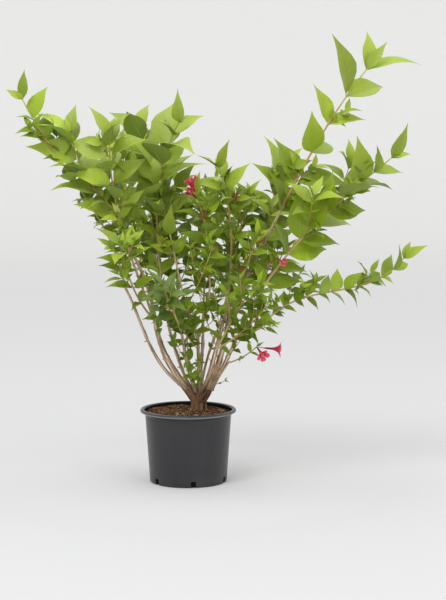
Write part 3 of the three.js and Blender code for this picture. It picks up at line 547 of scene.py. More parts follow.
def pot_inside_shade():
    """The inside of the wall, black and dull: painted shade."""
    return mottled("pot_inside_shade", tone(12, 12, 12), tone(22, 21, 19), 40.0, detail=3.0,
                   Roughness=0.9, Specular_IOR_Level=0.05)


def chip_bark(name, dark, light):
    """A chip of composted bark, with a grain of its own."""
    return mottled(name, dark, light, 420.0, (0.35, 0.65), 3.0, relief=0.0004, Roughness=0.9,
                   Specular_IOR_Level=0.25)


def plain_skin(name, colour):
    """A small part's skin, faintly mottled."""
    return mottled(name, colour, scaled(colour, 0.7), 300.0, (0.4, 0.7), share=0.5, Roughness=0.6,
                   Specular_IOR_Level=0.3)


def pot_plastic():
    """Charcoal polypropylene: a fine moulded grain, faint streaks down the wall, a dusty foot, a
    painted highlight on the lower outer edge of the lip's roll, and painted shade under the lip
    and on the inner half of its top."""
    net = Net("pot_plastic", Specular_IOR_Level=0.5)
    place = net.place()
    height = net.parts(place)[2]
    radius = net.length(net.stretched(place, (1.0, 1.0, 0.0)))
    grain = net.noise(place, 900.0, 2.0)
    streaks = net.noise(net.stretched(place, (60.0, 60.0, 4.0)), 1.0, 4.0)
    clouds = net.noise(place, 14.0, 4.0)
    dust = (1 - height.over(0.0, 0.03)) * clouds.over(0.4, 0.7)
    worn = streaks.over(0.5, 0.75) * 0.35 + clouds.over(0.45, 0.75) * 0.3
    # painted highlight: the lower outer edge of the lip's roll, lightened as the floor's reflection
    lip = height.over(0.164, 0.1655) * (1 - height.over(0.167, 0.1695))
    painted_lip_highlight = radius.over(0.1095, 0.1115) * lip * (0.6 + clouds.over(0.35, 0.65) * 0.3)
    # painted shade: the neck under the lip's roll and the inner half of its top are darkened
    corner = (1 - radius.over(0.1085, 0.1105)) * height.over(0.158, 0.1615)
    body = net.mix(worn, tone(37, 37, 40), tone(49, 49, 51))
    body = net.mix(dust * 0.35, body, tone(96, 90, 82))
    body = net.mix(corner * 0.8, body, tone(12, 12, 13))
    net.colour(net.mix(painted_lip_highlight, body, tone(140, 140, 142)))
    net.feed("Roughness", 0.33 + worn * 0.16 + dust * 0.2)
    net.bump(grain + streaks * 0.6, 0.00008, 0.6)
    return net.material


def soil_earth():
    """Peat: near black where the crumb noise is low, in the hollows of its bump, warm brown on the
    crumbs, and near black below 12 cm, where it shows through the drain slots: painted shade.
    """
    net = Net("soil_earth", Roughness=0.95, Specular_IOR_Level=0.2)
    place = net.place()
    crumbs = net.noise(place, 260.0, 4.0, 0.7)
    patches = net.noise(place, 35.0, 3.0)
    dry = net.mix(patches.over(0.4, 0.65), tone(84, 58, 38), tone(122, 90, 62))
    crumb_colour = net.mix(crumbs.over(0.4, 0.62), tone(34, 23, 15), dry)
    # painted shade: near black below 12 cm, where the soil shows through the drain slots
    net.colour(net.mix(net.parts(place)[2].over(0.12, 0.15), tone(16, 12, 10), crumb_colour))
    net.bump(crumbs, 0.0012, 1.0)
    return net.material


def bark(name, dark, middle, light, fibre, depth):
    """Stringy bark: streaks run along the limb, grey ridges over brown furrows, and everything is
    browner and darker near the soil. The corner marks are the direction round the limb and the
    distance along it."""
    net = Net(name, Specular_IOR_Level=0.25)
    mark = net.mark()[0]
    height = net.parts(net.place())[2]
    strings = net.noise(net.stretched(mark, (fibre, fibre, 2.6)), 1.0, 5.0, 0.65)
    fine = net.noise(net.stretched(mark, (fibre * 3, fibre * 3, 7.0)), 1.0, 3.0, 0.6)
    patches = net.noise(net.stretched(mark, (0.9, 0.9, 1.4)), 1.0, 3.0)
    ground = net.mix(patches.over(0.38, 0.62), middle, light)
    furrow = (1 - strings.over(0.36, 0.56)) * 0.9
    upper = net.mix(furrow + (1 - fine.over(0.3, 0.55)) * 0.25, ground, dark)
    old = net.mix(strings.over(0.36, 0.66), tone(40, 26, 17), tone(150, 114, 82))
    net.colour(net.mix(height.over(0.195, 0.26), old, upper))
    net.feed("Roughness", 0.72 + furrow * 0.2)
    net.bump(strings + fine * 0.35, depth, 0.9)
    return net.material


def twig_skin(name, base, shade):
    """Smooth young bark, a little mottled, with a soft gloss."""
    net = Net(name, Specular_IOR_Level=0.35)
    streaks = net.noise(net.stretched(net.mark()[0], (2.2, 2.2, 30.0)), 1.0, 3.0)
    net.colour(net.mix(streaks.over(0.35, 0.65), shade, base))
    net.feed("Roughness", 0.5 + streaks * 0.2)
    net.bump(streaks, 0.0003, 0.4)
    return net.material


LATERALS = 6.5  # side veins on each half of a blade


def leaf_skin(name, colour, vein, gloss):
    """A blade's skin. The corner marks are the share along the blade, the share across it from rib
    to margin, and a number of the leaf's own. Side veins leave the rib and sweep towards the tip,
    so their phase is the share along less a part of the share across."""
    net = Net(name, Specular_IOR_Level=0.32)
    _, along, across, own = net.mark()
    phase = (along - across * 0.2 + across * across * 0.05) * (2 * math.pi * LATERALS)
    ridge = (phase.sine() * 0.5 + 0.5) ** 6.0
    soft = net.noise(net.place(), 60.0, 2.0)
    veins = ridge * (1 - across.over(0.7, 1.0)) * 0.08
    blade = net.mix(own, scaled(colour, 0.72), scaled(colour, 1.18))
    net.colour(net.mix(veins + soft * 0.06, blade, vein))
    net.feed("Roughness", gloss + soft * 0.1)
    net.bump(ridge * -1.0 + soft * 0.4, 0.0005, 0.5)
    return net.material


PETAL_VEINS = 20


def petal_skin(name, base, edge):
    """A petal: dark in its tube, deeper towards the throat, paler at the lip, with faint lines
    running along it. The corner marks are the shares along it and round it."""
    net = Net(name, Roughness=0.55, Specular_IOR_Level=0.3, Sheen_Weight=0.15)
    _, along, around, _ = net.mark()
    lines = (around * (2 * math.pi * PETAL_VEINS)).sine() * 0.5 + 0.5
    lip = net.mix(along.over(0.55, 1.0) * 0.7 + lines * 0.15, base, edge)
    net.colour(net.mix(along.over(0.2, 0.5), scaled(base, 0.3), lip))
    net.bump(lines, 0.0003, 0.3)
    return net.material


# ---------------------------------------------------------------- the pot


def arc(centre, radius, start, end, count):
    """Points of a circle in the profile's plane, from one angle to another."""
    angle = np.radians(np.linspace(start, end, count))
    return np.array(centre) + radius * np.stack([np.cos(angle), np.sin(angle)], -1)


def spread(start, end, count):
    return np.linspace(start, end, count, endpoint=False)[1:]


def turned(x, y, angle):
    """A point turned about the origin: x cos a - y sin a and x sin a + y cos a."""
    cos, sin = np.cos(angle), np.sin(angle)
    return x * cos - y * sin, x * sin + y * cos


def pot_profile():
    """Radii and heights of the wall, from the middle of the underside out, up the outside, over the
    rolled lip and down the inside."""
    foot, rim, height = POT["foot_radius"], POT["rim_radius"], POT["height"]
    neck = POT["mouth_radius"]
    under = height - POT["lip_height"]
    return np.concatenate([
        spread((6, 0), (foot - 3, 0), 8),
        arc((foot - 3, 3), 3, -90, 0, 6),
        spread((foot, 3), (neck - 1, under - 12), 26),
        arc((neck - 5, under - 11), 4.2, 0, 30, 3),
        [(neck - 0.2, under - 6), (neck + 0.6, under - 1.4)],
        arc((neck + 2.4, under - 1.2), 1.6, 180, 90, 4),
        arc((rim - 3, under + 3.2), 3, -80, 0, 6),
        arc((rim - 3.6, height - 3.6), 3.6, 0, 90, 8),
        arc((neck + 4.6, height - 3.4), 3.3, 95, 165, 6),
        [(neck - 0.6, under - 3.0), (neck - 2.2, under - 9)],
        spread((neck - 3, under - 12), (foot - 2.2, 6), 20),
        arc((foot - 5.4, 5.2), 3.2, 0, -90, 4),
        spread((foot - 6, 2), (6, 2), 8),
    ])


def lathe(profile, facets):
    """A profile turned about Z: x = r cos a, y = r sin a. Returned as one grid, ring by ring."""
    angle = turn_in(facets)
    radius, height = profile[:, 0][:, None], profile[:, 1][:, None]
    flat = np.broadcast_to(height, (len(profile), facets))
    return np.stack([radius * np.cos(angle), radius * np.sin(angle), flat], -1)[None]


def slot_cutters():
    """Upright blocks with rounded tops, one for each drain slot through the foot of the wall."""
    half, top = POT["slot_width"] / 2, POT["slot_height"]
    roof = arc((half - 3, top - 3), 3, 0, 90, 5)
    outline = np.concatenate([[(half, -6)], roof, (roof * (-1, 1))[::-1], [(-half, -6)]])
    depth = np.array([-POT["slot_depth"], POT["slot_depth"]]) - POT["foot_radius"]
    x, y, z = np.broadcast_arrays(outline[:, 0], depth[:, None], outline[:, 1])
    parts = []
    for i in range(POT["slots"]):
        turn = math.radians(POT["first_slot"] + i * 360 / POT["slots"])
        parts.append(closed(np.stack([*turned(x, y, turn), z], -1)[None], flip=True))
    return joined(parts)


SHADE_INSIDE_FROM = 6  # steps from the lip's crown to where the painted shade inside begins


def make_pot():
    """The turned wall, with the drain slots cut through its foot."""
    grid = lathe(pot_profile(), POT["facets"])
    foot, tip = np.array([[0.0, 0.0, 0.0]]), np.array([[0.0, 0.0, POT["wall"]]])
    wall = closed(grid, flip=True, poles=(foot, tip))
    quads, fans = wall[1]
    crown = int(grid[0, :, 0, 2].argmax())
    # painted shade: the faces inside the wall take the black inside material
    inside = np.arange(len(quads)) >= (crown + SHADE_INSIDE_FROM) * POT["facets"]
    inside = np.concatenate([inside, np.zeros(len(fans), bool)])
    pot = piece("pot_shell", wall, pot_plastic(), "pot", ["pot"], second=(pot_inside_shade(), inside))
    cutter = piece("slot_cutters", slot_cutters(), pot.data.materials[0], None)
    cut = pot.modifiers.new("slots", "BOOLEAN")
    cut.operation, cut.solver, cut.object = "DIFFERENCE", "EXACT", cutter
    graph = bpy.context.evaluated_depsgraph_get()
    pot.data = bpy.data.meshes.new_from_object(pot.evaluated_get(graph))
    pot.modifiers.clear()
    pot.data.shade_smooth()
    pot.data.set_sharp_from_angle(angle=math.radians(32))
    bpy.data.objects.remove(cutter)


make_pot()

# ---------------------------------------------------------------- the soil


def inner_radius(z):
    """The inside of the wall at a height, even from just over the floor to the shoulder."""
    foot = POT["foot_radius"] - INSIDE["foot_in"]
    shoulder = POT["mouth_radius"] - INSIDE["shoulder_in"]
    return foot + (shoulder - foot) * (z - INSIDE["from"]) / (INSIDE["to"] - INSIDE["from"])


def soil_height(x, y):
    """Height of the surface: level, a mound round the stool that falls away as a bell curve, a drop
    at the wall that is deeper on the right, and crumbs of three sizes."""
    from_stool = np.hypot(x - STOOL["foot"][0], y - STOOL["foot"][1])
    edge = clamp((np.hypot(x, y) - SOIL["edge_from"]) / SOIL["edge_over"])
    points = np.stack([x, y, np.zeros_like(x)], -1)
    crumbs = 1.6 * noise(points, 0.05, 2) + 1.2 * noise(points, 0.22, 3)
    bell = swelling(from_stool, 0, SOIL["mound_reach"])
    drop = SOIL["edge_drop"] * (0.55 + 0.45 * x / 100)
    return SOIL["top"] + SOIL["mound"] * bell - drop * edge**2 + SOIL["relief"] * crumbs


def make_soil():
    """The plug of soil as one closed form: up the wall, then the crumbly top ring by ring."""
    angle = turn_in(SOIL["facets"])
    side_z = np.array([2.4, 40, 80, 120, 146])
    side = np.stack([inner_radius(side_z) - 0.8, side_z], -1)
    rim = inner_radius(SOIL["rim"]) - 0.6
    radius = rim * np.linspace(1, 0.012, SOIL["rings"]) ** 0.9
    x, y = radius[:, None] * np.cos(angle), radius[:, None] * np.sin(angle)
    top = np.stack([x, y, soil_height(x, y)], -1)[None]
    plug = closed(np.concatenate([lathe(side, SOIL["facets"]), top], 1))
    piece("soil_plug", plug, soil_earth(), "soil", ["soil"], sharp=80)


# The share of the chips in each colour, and its dark and light parts.
CHIP_TINTS = {
    "dark": (0.42, tone(44, 30, 20), tone(86, 60, 40)),
    "brown": (0.44, tone(92, 60, 39), tone(142, 100, 66)),
    "pale": (0.10, tone(144, 114, 84), tone(200, 172, 134)),
}
CUBE = np.array([(-1, -1, -1), (1, -1, -1), (1, 1, -1), (-1, 1, -1),
                 (-1, -1, 1), (1, -1, 1), (1, 1, 1), (-1, 1, 1)], float)
CUBE_SIDES = np.array([(0, 3, 2, 1), (4, 5, 6, 7), (0, 1, 5, 4), (1, 2, 6, 5), (2, 3, 7, 6),
                       (3, 0, 4, 7)])


def make_chips():
    """Chips of bark on the soil: blocks with their eight corners moved by chance, lying nearly flat
    at the surface, long and thin ones among square ones, dealt out to three colours."""
    rng = np.random.default_rng(71)
    count = CHIPS["count"]
    radius = CHIPS["reach"] * np.sqrt(rng.uniform(0.0, 1.0, count))
    angle = rng.uniform(0, 2 * math.pi, count)
    x, y = radius * np.cos(angle), radius * np.sin(angle)
    size = np.stack([rng.gamma(3.2, 0.75, count) + 1.0, rng.uniform(0.7, 1.9, count),
                     rng.uniform(0.35, 0.8, count)], -1)
    local = CUBE * size[:, None] * rng.uniform(0.55, 1.1, (count, 8, 3))
    turn, tilt = rng.uniform(0, 2 * math.pi, count), rng.normal(0, 0.35, count)
    across, up = turned(local[..., 0], local[..., 2], tilt[:, None])
    across, along = turned(across, local[..., 1], turn[:, None])
    lift = size[:, 2] * 0.5 + rng.uniform(-0.2, 0.5, count)
    centre = np.stack([x, y, soil_height(x, y) + lift], -1)
    corners = np.stack([across, along, up], -1) + centre[:, None]
    draw, start = rng.uniform(0, 1, count), 0.0
    for name, (share, dark, light) in CHIP_TINTS.items():
        picked = corners[(draw >= start) & (draw < start + share)]
        start += share
        faces = (np.arange(len(picked)) * len(CUBE))[:, None, None] + CUBE_SIDES
        part = (picked.reshape(-1, 3), [faces.reshape(-1, 4)], None)
        skin = chip_bark("chips_" + name, dark, light)
        piece("soil_chips_" + name, part, skin, "soil", flat=True)


make_soil()
make_chips()

# ---------------------------------------------------------------- limbs


def unit(vectors):
    return vectors / np.linalg.norm(vectors, axis=-1, keepdims=True)


def compass(bearing, pitch=0.0):
    """The direction of a bearing from +X towards +Y, at a pitch above level."""
    b, p = math.radians(bearing), math.radians(pitch)
    return np.array([math.cos(b) * math.cos(p), math.sin(b) * math.cos(p), math.sin(p)])


def straight(heading):
    """The bearing, reach and rise of a direction, as a limb's row gives them."""
    return dict(bearing=math.degrees(math.atan2(heading[1], heading[0])),
                reach=math.hypot(heading[0], heading[1]), rise=heading[2])


def around(first, second, angle):
    """The direction at an angle from one direction towards another."""
    return first * math.cos(angle) + second * math.sin(angle)


class Line:
    """The line of a limb, as a cubic curve. bow sags it outward and down, sway moves it sideways,
    and curl adds to the sag near the start and takes it off near the end, over its length."""

    def __init__(self, start, bearing, reach, rise, bow=0.0, curl=0.0, sway=0.0):
        out = compass(bearing)
        self.side = np.array([-out[1], out[0], 0.0])
        chord = out * reach + UP * rise
        self.length = float(np.linalg.norm(chord))
        below = out * (rise / self.length) - UP * (reach / self.length)
        start = np.asarray(start, float)
        aside = self.side * (2 / 3 * sway * self.length)

        def handle(share, sag):
            return start + chord * share + below * (sag * self.length) + aside

        self.points = np.stack([start, handle(1 / 3, 2 / 3 * bow + curl),
                                handle(2 / 3, 2 / 3 * bow - curl), start + chord])

    def at(self, t):
        """(1-t)^3 P0 + 3(1-t)^2 t P1 + 3(1-t) t^2 P2 + t^3 P3."""
        t = np.asarray(t, float)[..., None]
        p = self.points
        s = 1 - t
        return s**3 * p[0] + 3 * s**2 * t * p[1] + 3 * s * t**2 * p[2] + t**3 * p[3]

    def axes(self, t):
        """The directions at a share of the line: along it, and two across it."""
        t = np.asarray(t, float)[..., None]
        p, s = self.points, 1 - np.asarray(t, float)
        along = unit(s**2 * (p[1] - p[0]) + 2 * s * t * (p[2] - p[1]) + t**2 * (p[3] - p[2]))
        across = unit(self.side - along * (along @ self.side)[..., None])
        return along, across, np.cross(along, across)


def limb_of(row, start):
    """The line of a table's row, from a start."""
    keys = ("bearing", "reach", "rise", "bow", "curl", "sway")
    return Line(start, **{k: row[k] for k in keys if k in row})


def tube(line, t, radius, sides, relief=None):
    """A closed tube on a line: at each share t, a ring of the given radius. relief is a rule that
    gives the share to add to the radius from the angle and the distance along. Each corner's mark
    is the direction round the limb, and the distance along it in decimetres."""
    angle = turn_in(sides)[None]
    run = (t * line.length)[:, None]
    along, across, over = line.axes(t)
    width = np.asarray(radius)[:, None] * (1 + (relief(angle, run) if relief else 0))
    width = np.broadcast_to(width, (len(t), sides))
    ring = across[:, None] * np.cos(angle)[..., None] + over[:, None] * np.sin(angle)[..., None]
    grid = (line.at(t)[:, None] + ring * width[..., None])[None]
    return closed(grid, bark_marks(angle, run))


def bark_marks(angle, run):
    return np.stack(np.broadcast_arrays(np.cos(angle), np.sin(angle), run / 100), -1)[None]


def fibres(seed, depth, count):
    """A rule of relief for old bark: ridges that run along the limb and wander round it, from noise
    on a cylinder that is drawn out along its length, with a slow bulge on top."""

    def relief(angle, run):
        a, r = np.broadcast_arrays(angle, run)
        ring = np.stack([np.cos(a) * count, np.sin(a) * count, r * 0.035 + seed * 7.7], -1)
        slow = np.stack([np.cos(a), np.sin(a), r * 0.03 + seed * 3.1], -1)
        return depth * 2 * noise(ring, 1.0, 3) + 0.12 * noise(slow, 1.0, 2)

    return relief


# ---------------------------------------------------------------- the stool and stems

tips, stem_lines = {}, {}
wood = {"stool": [], "stems": []}


def grow_stool():
    """The trunk: a ring at each height, wide at the soil and narrow above it, as the waist radius
    and a flare that dies away as e^(-height), lobed round by sine waves and by fibres. Its arms
    start inside it."""
    foot, top = np.array(STOOL["foot"], float), np.array(STOOL["top"], float)
    t = np.linspace(0, 1, STOOL["rings"])[:, None] ** STOOL["flare_power"]
    angle = turn_in(STOOL["facets"])[None]
    rise = t * (top[2] - foot[2])
    flare = np.exp(-rise / STOOL["flare_height"])
    waist = blend(STOOL["waist_radius"], STOOL["top_radius"], t)
    lobes = (1 + 0.07 * np.sin(3 * angle + 1) + 0.04 * np.sin(5 * angle)
             + 0.05 * flare * np.sin(7 * angle))
    width = (waist + (STOOL["flare_radius"] - STOOL["waist_radius"]) * flare) * lobes
    width = width * (1 + fibres(1, 0.13, 3.2)(angle, rise)) * rounded(t, 0.78, 0.22, 0.02)
    centre = foot + (top - foot) * t[..., None]
    ring = np.stack([np.cos(angle), -np.sin(angle), np.zeros_like(angle)], -1)
    grid = (centre + ring * width[..., None])[None]
    grid[0, 0, :, 2] -= STOOL["sunk"]
    wood["stool"].append(closed(grid, bark_marks(angle, rise), flip=True))

    t = np.linspace(0, 1, 30)
    for i, (name, arm) in enumerate(ARMS.items()):
        line = limb_of(arm, top - UP * STOOL["arm_root"])
        radius = blend(*arm["radii"], t) * rounded(t, 0.8, 0.2, 0.08)
        wood["stool"].append(tube(line, t, radius, 64, fibres(i + 2, 0.13, 2.6)))
        tips[name] = line.at(1.0)


# A stem's collar on its arm, and the swellings at its old nodes.
COLLAR = {"share": 0.35, "height": 9}
NODES = {"every": 34, "more": 5, "shift": 11, "share": 0.13, "width": 3.2}


def grow_stems():
    """Each stem tapers from a collar on its arm, swells a little at its old nodes, and runs on into
    its first shoot."""
    for i, (name, stem) in enumerate(STEMS.items()):
        line = limb_of(stem, tips[stem["on"]] + np.array(stem["offset"]))
        t = np.linspace(0, 1, max(4, round(line.length / 3.0)) + 1)
        run = t * line.length
        foot = stem["radii"][0]
        radius = blend(*stem["radii"], t) + foot * COLLAR["share"] * np.exp(-run / COLLAR["height"])
        node = NODES["every"] + NODES["more"] * (i % 4)
        swell = swelling((run + NODES["shift"] * i) % node, node / 2, NODES["width"])
        radius = radius * (1 + NODES["share"] * swell)
        radius[-2:] *= (0.9, 0.45)
        sides = 36 if foot > 5 else 24
        wood["stems"].append(tube(line, t, radius, sides, fibres(i + 11, 0.075, 1.7)))
        tips[name] = line.at(1.0)
        stem_lines[name] = line


STUB_RUN = np.array([0, 0.35, 0.6, 0.8, 0.93, 1.0])
STUB_WIDTH = np.array([1.5, 1.25, 1.05, 1.0, 0.92, 0.55])


def grow_stubs():
    """Short snags of dead side twigs with a broken end, and loose slivers of bark that stand off
    the stems near the stool, each at a share of a stem and on a side of chance."""
    rng = np.random.default_rng(5)
    thick = [name for name, stem in STEMS.items() if stem["radii"][0] > 3.6]
    sliver = np.linspace(0, 1, 7)
    for i in range(STUBS + SLIVERS):
        name = thick[i % len(thick)]
        line = stem_lines[name]
        t = rng.uniform(0.06, 0.62)
        along, across, over = line.axes(t)
        away = around(across, over, rng.uniform(0, 2 * math.pi))
        skin = blend(*STEMS[name]["radii"], t)
        if i < STUBS:
            length, radius = skin + rng.uniform(4, 11), rng.uniform(1.0, 1.7)
            twig = Line(line.at(t), **straight(unit(away + along * rng.uniform(0.3, 0.9)) * length))
            part = tube(twig, STUB_RUN, radius * STUB_WIDTH, 8, fibres(i, 0.08, 1.0))
        else:
            length = rng.uniform(10, 24)
            start = line.at(t) + away * (skin * 0.9)
            twig = Line(start, **straight(unit(along + away * rng.uniform(0.05, 0.28)) * length))
            part = tube(twig, sliver, rng.uniform(0.7, 1.2) * rounded(sliver, 0, 1, 0.03), 5)
        wood["stems"].append(part)


grow_stool()
grow_stems()
grow_stubs()
stool_bark = bark("stool_bark", tone(62, 43, 30), tone(140, 110, 84), tone(172, 144, 114), 3.4,
                  0.002)
stem_bark = bark("stem_bark", tone(78, 56, 36), tone(198, 164, 130), tone(236, 218, 192), 2.0,
                 0.0009)
piece("stool_wood", joined(wood["stool"]), stool_bark, "old_bark", ["stool"], marked=True)
piece("stem_wood", joined(wood["stems"]), stem_bark, "bark", list(STEMS), marked=True)

# ---------------------------------------------------------------- shoots, twigs and leaves


def mark_leaf(point, along, towards, angle, length, chance):
    """Where one leaf lies. It leaves the twig at an angle, and its upper side turns outward from
    the core and up, with a turn of chance."""
    direction = around(along, towards, angle)
    outward = np.array([(point[0] - CORE["x"]) * CORE["flatten"], point[1] - CORE["y"], 0.0])
    jitter = np.array([chance() - 0.5, chance() - 0.5, chance() - 0.5])
    facing = (UP * FACING["upward"] + along * FACING["along"] + unit(outward) * FACING["outward"]
              + jitter * FACING["chance"])
    up = unit(facing - direction * (facing @ direction))
    return dict(root=point, along=direction, side=np.cross(up, direction), up=up, length=length)


def shoot_leaves(line, row, chance):
    """Opposite pairs, each a swing, most often a quarter turn, from the next, closer, smaller and
    more upright towards the tip. u runs from 0 at the first pair to 1 at the last."""
    leaves = []
    pairs, foot = row["pairs"], row["bare"]
    turns, shares = row.get("turns", [0] * (pairs + 1)), row.get("shares", [(1, 1)] * (pairs + 1))
    for i in range(pairs + 1):
        u = i / pairs
        t = blend(foot, PAIR["last_at"], 1 - (1 - u) ** row.get("crowding", 1.4))
        halves, quarters = divmod(pairs - i, 2)
        turn = row["turn"] + halves * 180 + quarters * row.get("swing", 90)
        angle = math.radians(turn + (chance() - 0.5) * PAIR["wander"] + turns[i])
        size = 0.5 + 0.5 * math.sin(math.pi * (0.1 + 0.62 * u))
        size *= 1 - (1 - row.get("tip", 0.8)) * u**6
        opening = row.get("lean", 1.0) * (OPEN[1] - (OPEN[1] - OPEN[0]) * u**8)
        along, across, over = line.axes(t)
        pair = around(across, over, angle)
        for towards, share in zip((pair, -pair), shares[i]):
            length = row["leaf"] * size * share * chance.between(*PAIR["length"])
            angle_out = math.radians(opening * chance.between(*PAIR["angle"]))
            leaf = mark_leaf(line.at(t), along, towards, angle_out, length, chance)
            leaves.append({**leaf, "u": u, "pair": towards, "twig": along})
    return leaves


def side_twigs(mass, line, count, chance, leaf=1.0):
    """Seeded twigs that leave a shoot at turning angles, lean away from it and bend up."""
    rule, twigs = SIDE_TWIG, []
    for i in range(count):
        t = blend(mass["bare"], rule["last_at"], (i + chance.between(*rule["place"])) / count)
        angle = math.radians(mass["turn"] + 45 + i * 137 + 60 * chance())
        length = min(rule["longest"], line.length)
        length = length * (chance.between(*rule["share"]) * (1 - 0.4 * t))
        along, across, over = line.axes(t)
        heading = UP * rule["upward"] + along * rule["along"]
        heading = unit(heading + around(across, over, angle) * rule["away"]) * length
        twigs.append(dict(
            at=t, bow=rule["bow"], bare=rule["bare"],
            pairs=max(2, round(length / rule["pair_every"])),
            leaf=mass["leaf"] * leaf * chance.between(*rule["leaf"]), turn=90 * chance(),
            **straight(heading),
        ))
    return twigs


shoots = {}
for name, mass in MASSES.items():
    if name in TURNS:
        mass.update(turns=TURNS[name], shares=SHARES[name])
    earlier = sum(other["on"] == mass["on"] for other in list(MASSES.values())[: len(shoots)])
    radius = STEMS[mass["on"]]["radii"][1] * SHOOT_SHARES[earlier]
    shoots[name] = dict(line=limb_of(mass, tips[mass["on"]] - UP * SHOOT_ROOT), radius=radius)
samples = np.stack([s["line"].at(np.linspace(0, 1, SPACE_SAMPLES + 1)) for s in shoots.values()])
reach_low, reach_high = np.array(cad_low) / MM, np.array(cad_high) / MM
all_leaves, all_twigs = [], []


def in_own_space(name, point):
    """Whether a point is nearer to its own shoot than to any other."""
    distance = np.linalg.norm(samples - point, axis=-1).min(1)
    return list(shoots)[int(distance.argmin())] == name


def in_reach(point):
    """Whether a point is inside the solids' box, or a little outside it."""
    low, high = reach_low - REACH_MARGIN, reach_high + REACH_MARGIN
    return bool(np.all(point > low) and np.all(point < high))


def grow_bud(name, line, last, chance):
    """The young tip of a shoot: two smaller leaves across the last pair, nearly along the shoot."""
    along = line.axes(0.99)[0]
    across = unit(np.cross(along, last["pair"]))
    for towards in (across, -across):
        size = last["length"] * chance.between(*BUD["leaf"])
        leaf = mark_leaf(line.at(1.0), along, towards, BUD["angle"], size, chance)
        all_leaves.append({**leaf, "u": 1.0, "age": 0.0, "mass": name})


def grow_twig(name, row, line, radius, chance, age):
    """One twig with its leaves. Leaves that would go past the plant's reach are left out."""
    all_twigs.append(dict(line=line, radius=radius))
    for leaf in shoot_leaves(line, row, chance):
        if in_reach(leaf["root"] + leaf["along"] * leaf["length"]):
            all_leaves.append({**leaf, "age": age + (1 - age) * (1 - leaf["u"]), "mass": name})


def grow_sprig(name, mass, leaf, finer):
    """A small shoot in a leaf's axil, on a share of the nodes, and on more of them low down."""
    more = 0 if name in OUTER else SPRIG["more"] * below(leaf["root"][2], *SPRIG["low"])
    if finer() > mass["sprigs"] + more:
        return
    length = finer.between(*SPRIG["length"])
    heading = leaf["twig"] * SPRIG["along"] + leaf["pair"] * SPRIG["away"] + UP * SPRIG["upward"]
    row = dict(bow=0.05, bare=0.35, pairs=1 if length < SPRIG["two_pairs_from"] else 2,
               leaf=length * finer.between(*SPRIG["leaf"]), turn=360 * finer(),
               **straight(unit(heading) * length))
    line = limb_of(row, leaf["root"])
    if in_reach(line.at(1.0)):
        grow_twig(name, row, line, SPRIG["radius"], finer, 0.15)


def grow_mass(name, mass):
    """A shoot with its leaves, forks and side twigs, as the solids have them, then finer twigs that
    keep to the shoot's own space, sprigs and the bud. Leaves low down are narrower and shorter."""
    line, radius = shoots[name]["line"], shoots[name]["radius"]
    chance, finer = Chance(mass["seed"]), Chance(mass["seed"] + FINER["seed"])
    leaves = shoot_leaves(line, mass, chance)
    for leaf in leaves:
        all_leaves.append({**leaf, "age": 1.05 - leaf["u"], "mass": name})
    all_twigs.append(dict(line=line, radius=radius, main=True))
    rows = [dict(bare=0.25, bow=0.0, **fork) for fork in FORKS.get(name, [])]
    for row in rows + side_twigs(mass, line, mass["twigs"], chance):
        width = blend(radius, TIP_RADIUS, row["at"]) * SIDE_TWIG["radius"]
        grow_twig(name, row, limb_of(row, line.at(row["at"])), width, chance, 0.1)
    for row in side_twigs(mass, line, mass["fine"], finer, FINER["leaf"]):
        twig = limb_of(row, line.at(row["at"]))
        if in_own_space(name, twig.at(1.0)) and in_reach(twig.at(1.0)):
            width = blend(radius, TIP_RADIUS, row["at"]) * FINER["radius"]
            grow_twig(name, row, twig, width, finer, 0.25)
    for leaf in leaves[2:-4]:
        grow_sprig(name, mass, leaf, finer)
    grow_bud(name, line, leaves[-1], finer)
    own_leaves = [leaf for leaf in all_leaves if leaf["mass"] == name]
    draw_leaves(own_leaves, mass["seed"])
    for leaf in own_leaves:
        low = below(leaf["root"][2], *LOW_LEAVES["low"])
        low *= LOW_LEAVES["outer"] if name in OUTER else 1.0
        leaf["breadth"] = blend(*LOW_LEAVES["breadth"], low)
        leaf["length"] *= blend(*LOW_LEAVES["length"], low)


def draw_leaves(leaves, seed):
    """Nine numbers of chance for each leaf, which shape and shade its blade."""
    for leaf, draw in zip(leaves, np.random.default_rng(seed).uniform(0, 1, (len(leaves), 9))):
        leaf["draw"] = draw


def grow_sprouts():
    """Thin leafy sprouts from the old wood: each starts on a stem at a share of it and its tip is
    given."""
    for i, (on, at, tip, pairs, leaf, *rest) in enumerate(SPROUTS):
        turn, bare = (*rest, *(SPROUT["turn"], SPROUT["bare"])[len(rest):])
        start = stem_lines[on].at(at)
        row = dict(bow=0.06, bare=bare, pairs=pairs, leaf=leaf, turn=turn,
                   **straight(np.array(tip, float) - start))
        first = len(all_leaves)
        grow_twig("sprout", row, limb_of(row, start), SPROUT["radius"], Chance(SPROUT["seed"] + i),
                  0.3)
        draw_leaves(all_leaves[first:], i)


for name, mass in MASSES.items():
    grow_mass(name, mass)
grow_sprouts()

# ---------------------------------------------------------------- twigs as meshes

# The stretch of a shoot and of a side twig in each skin, and its two colours.
TWIG_SKINS = {
    "woody": ((0.0, 0.42), (0, 0), tone(206, 184, 142), tone(160, 132, 92)),
    "brown": ((0.42, 0.82), (0, 0.7), tone(192, 168, 100), tone(158, 126, 66)),
    "green": ((0.82, 1.0), (0.7, 1), tone(178, 186, 92), tone(156, 146, 70)),
}
# The sides, the length of a step and the tip's radius of a shoot and of a side twig.
SHOOT_TUBE, TWIG_TUBE = (12, 6, TIP_RADIUS), (7, 10, TIP_RADIUS * 0.6)


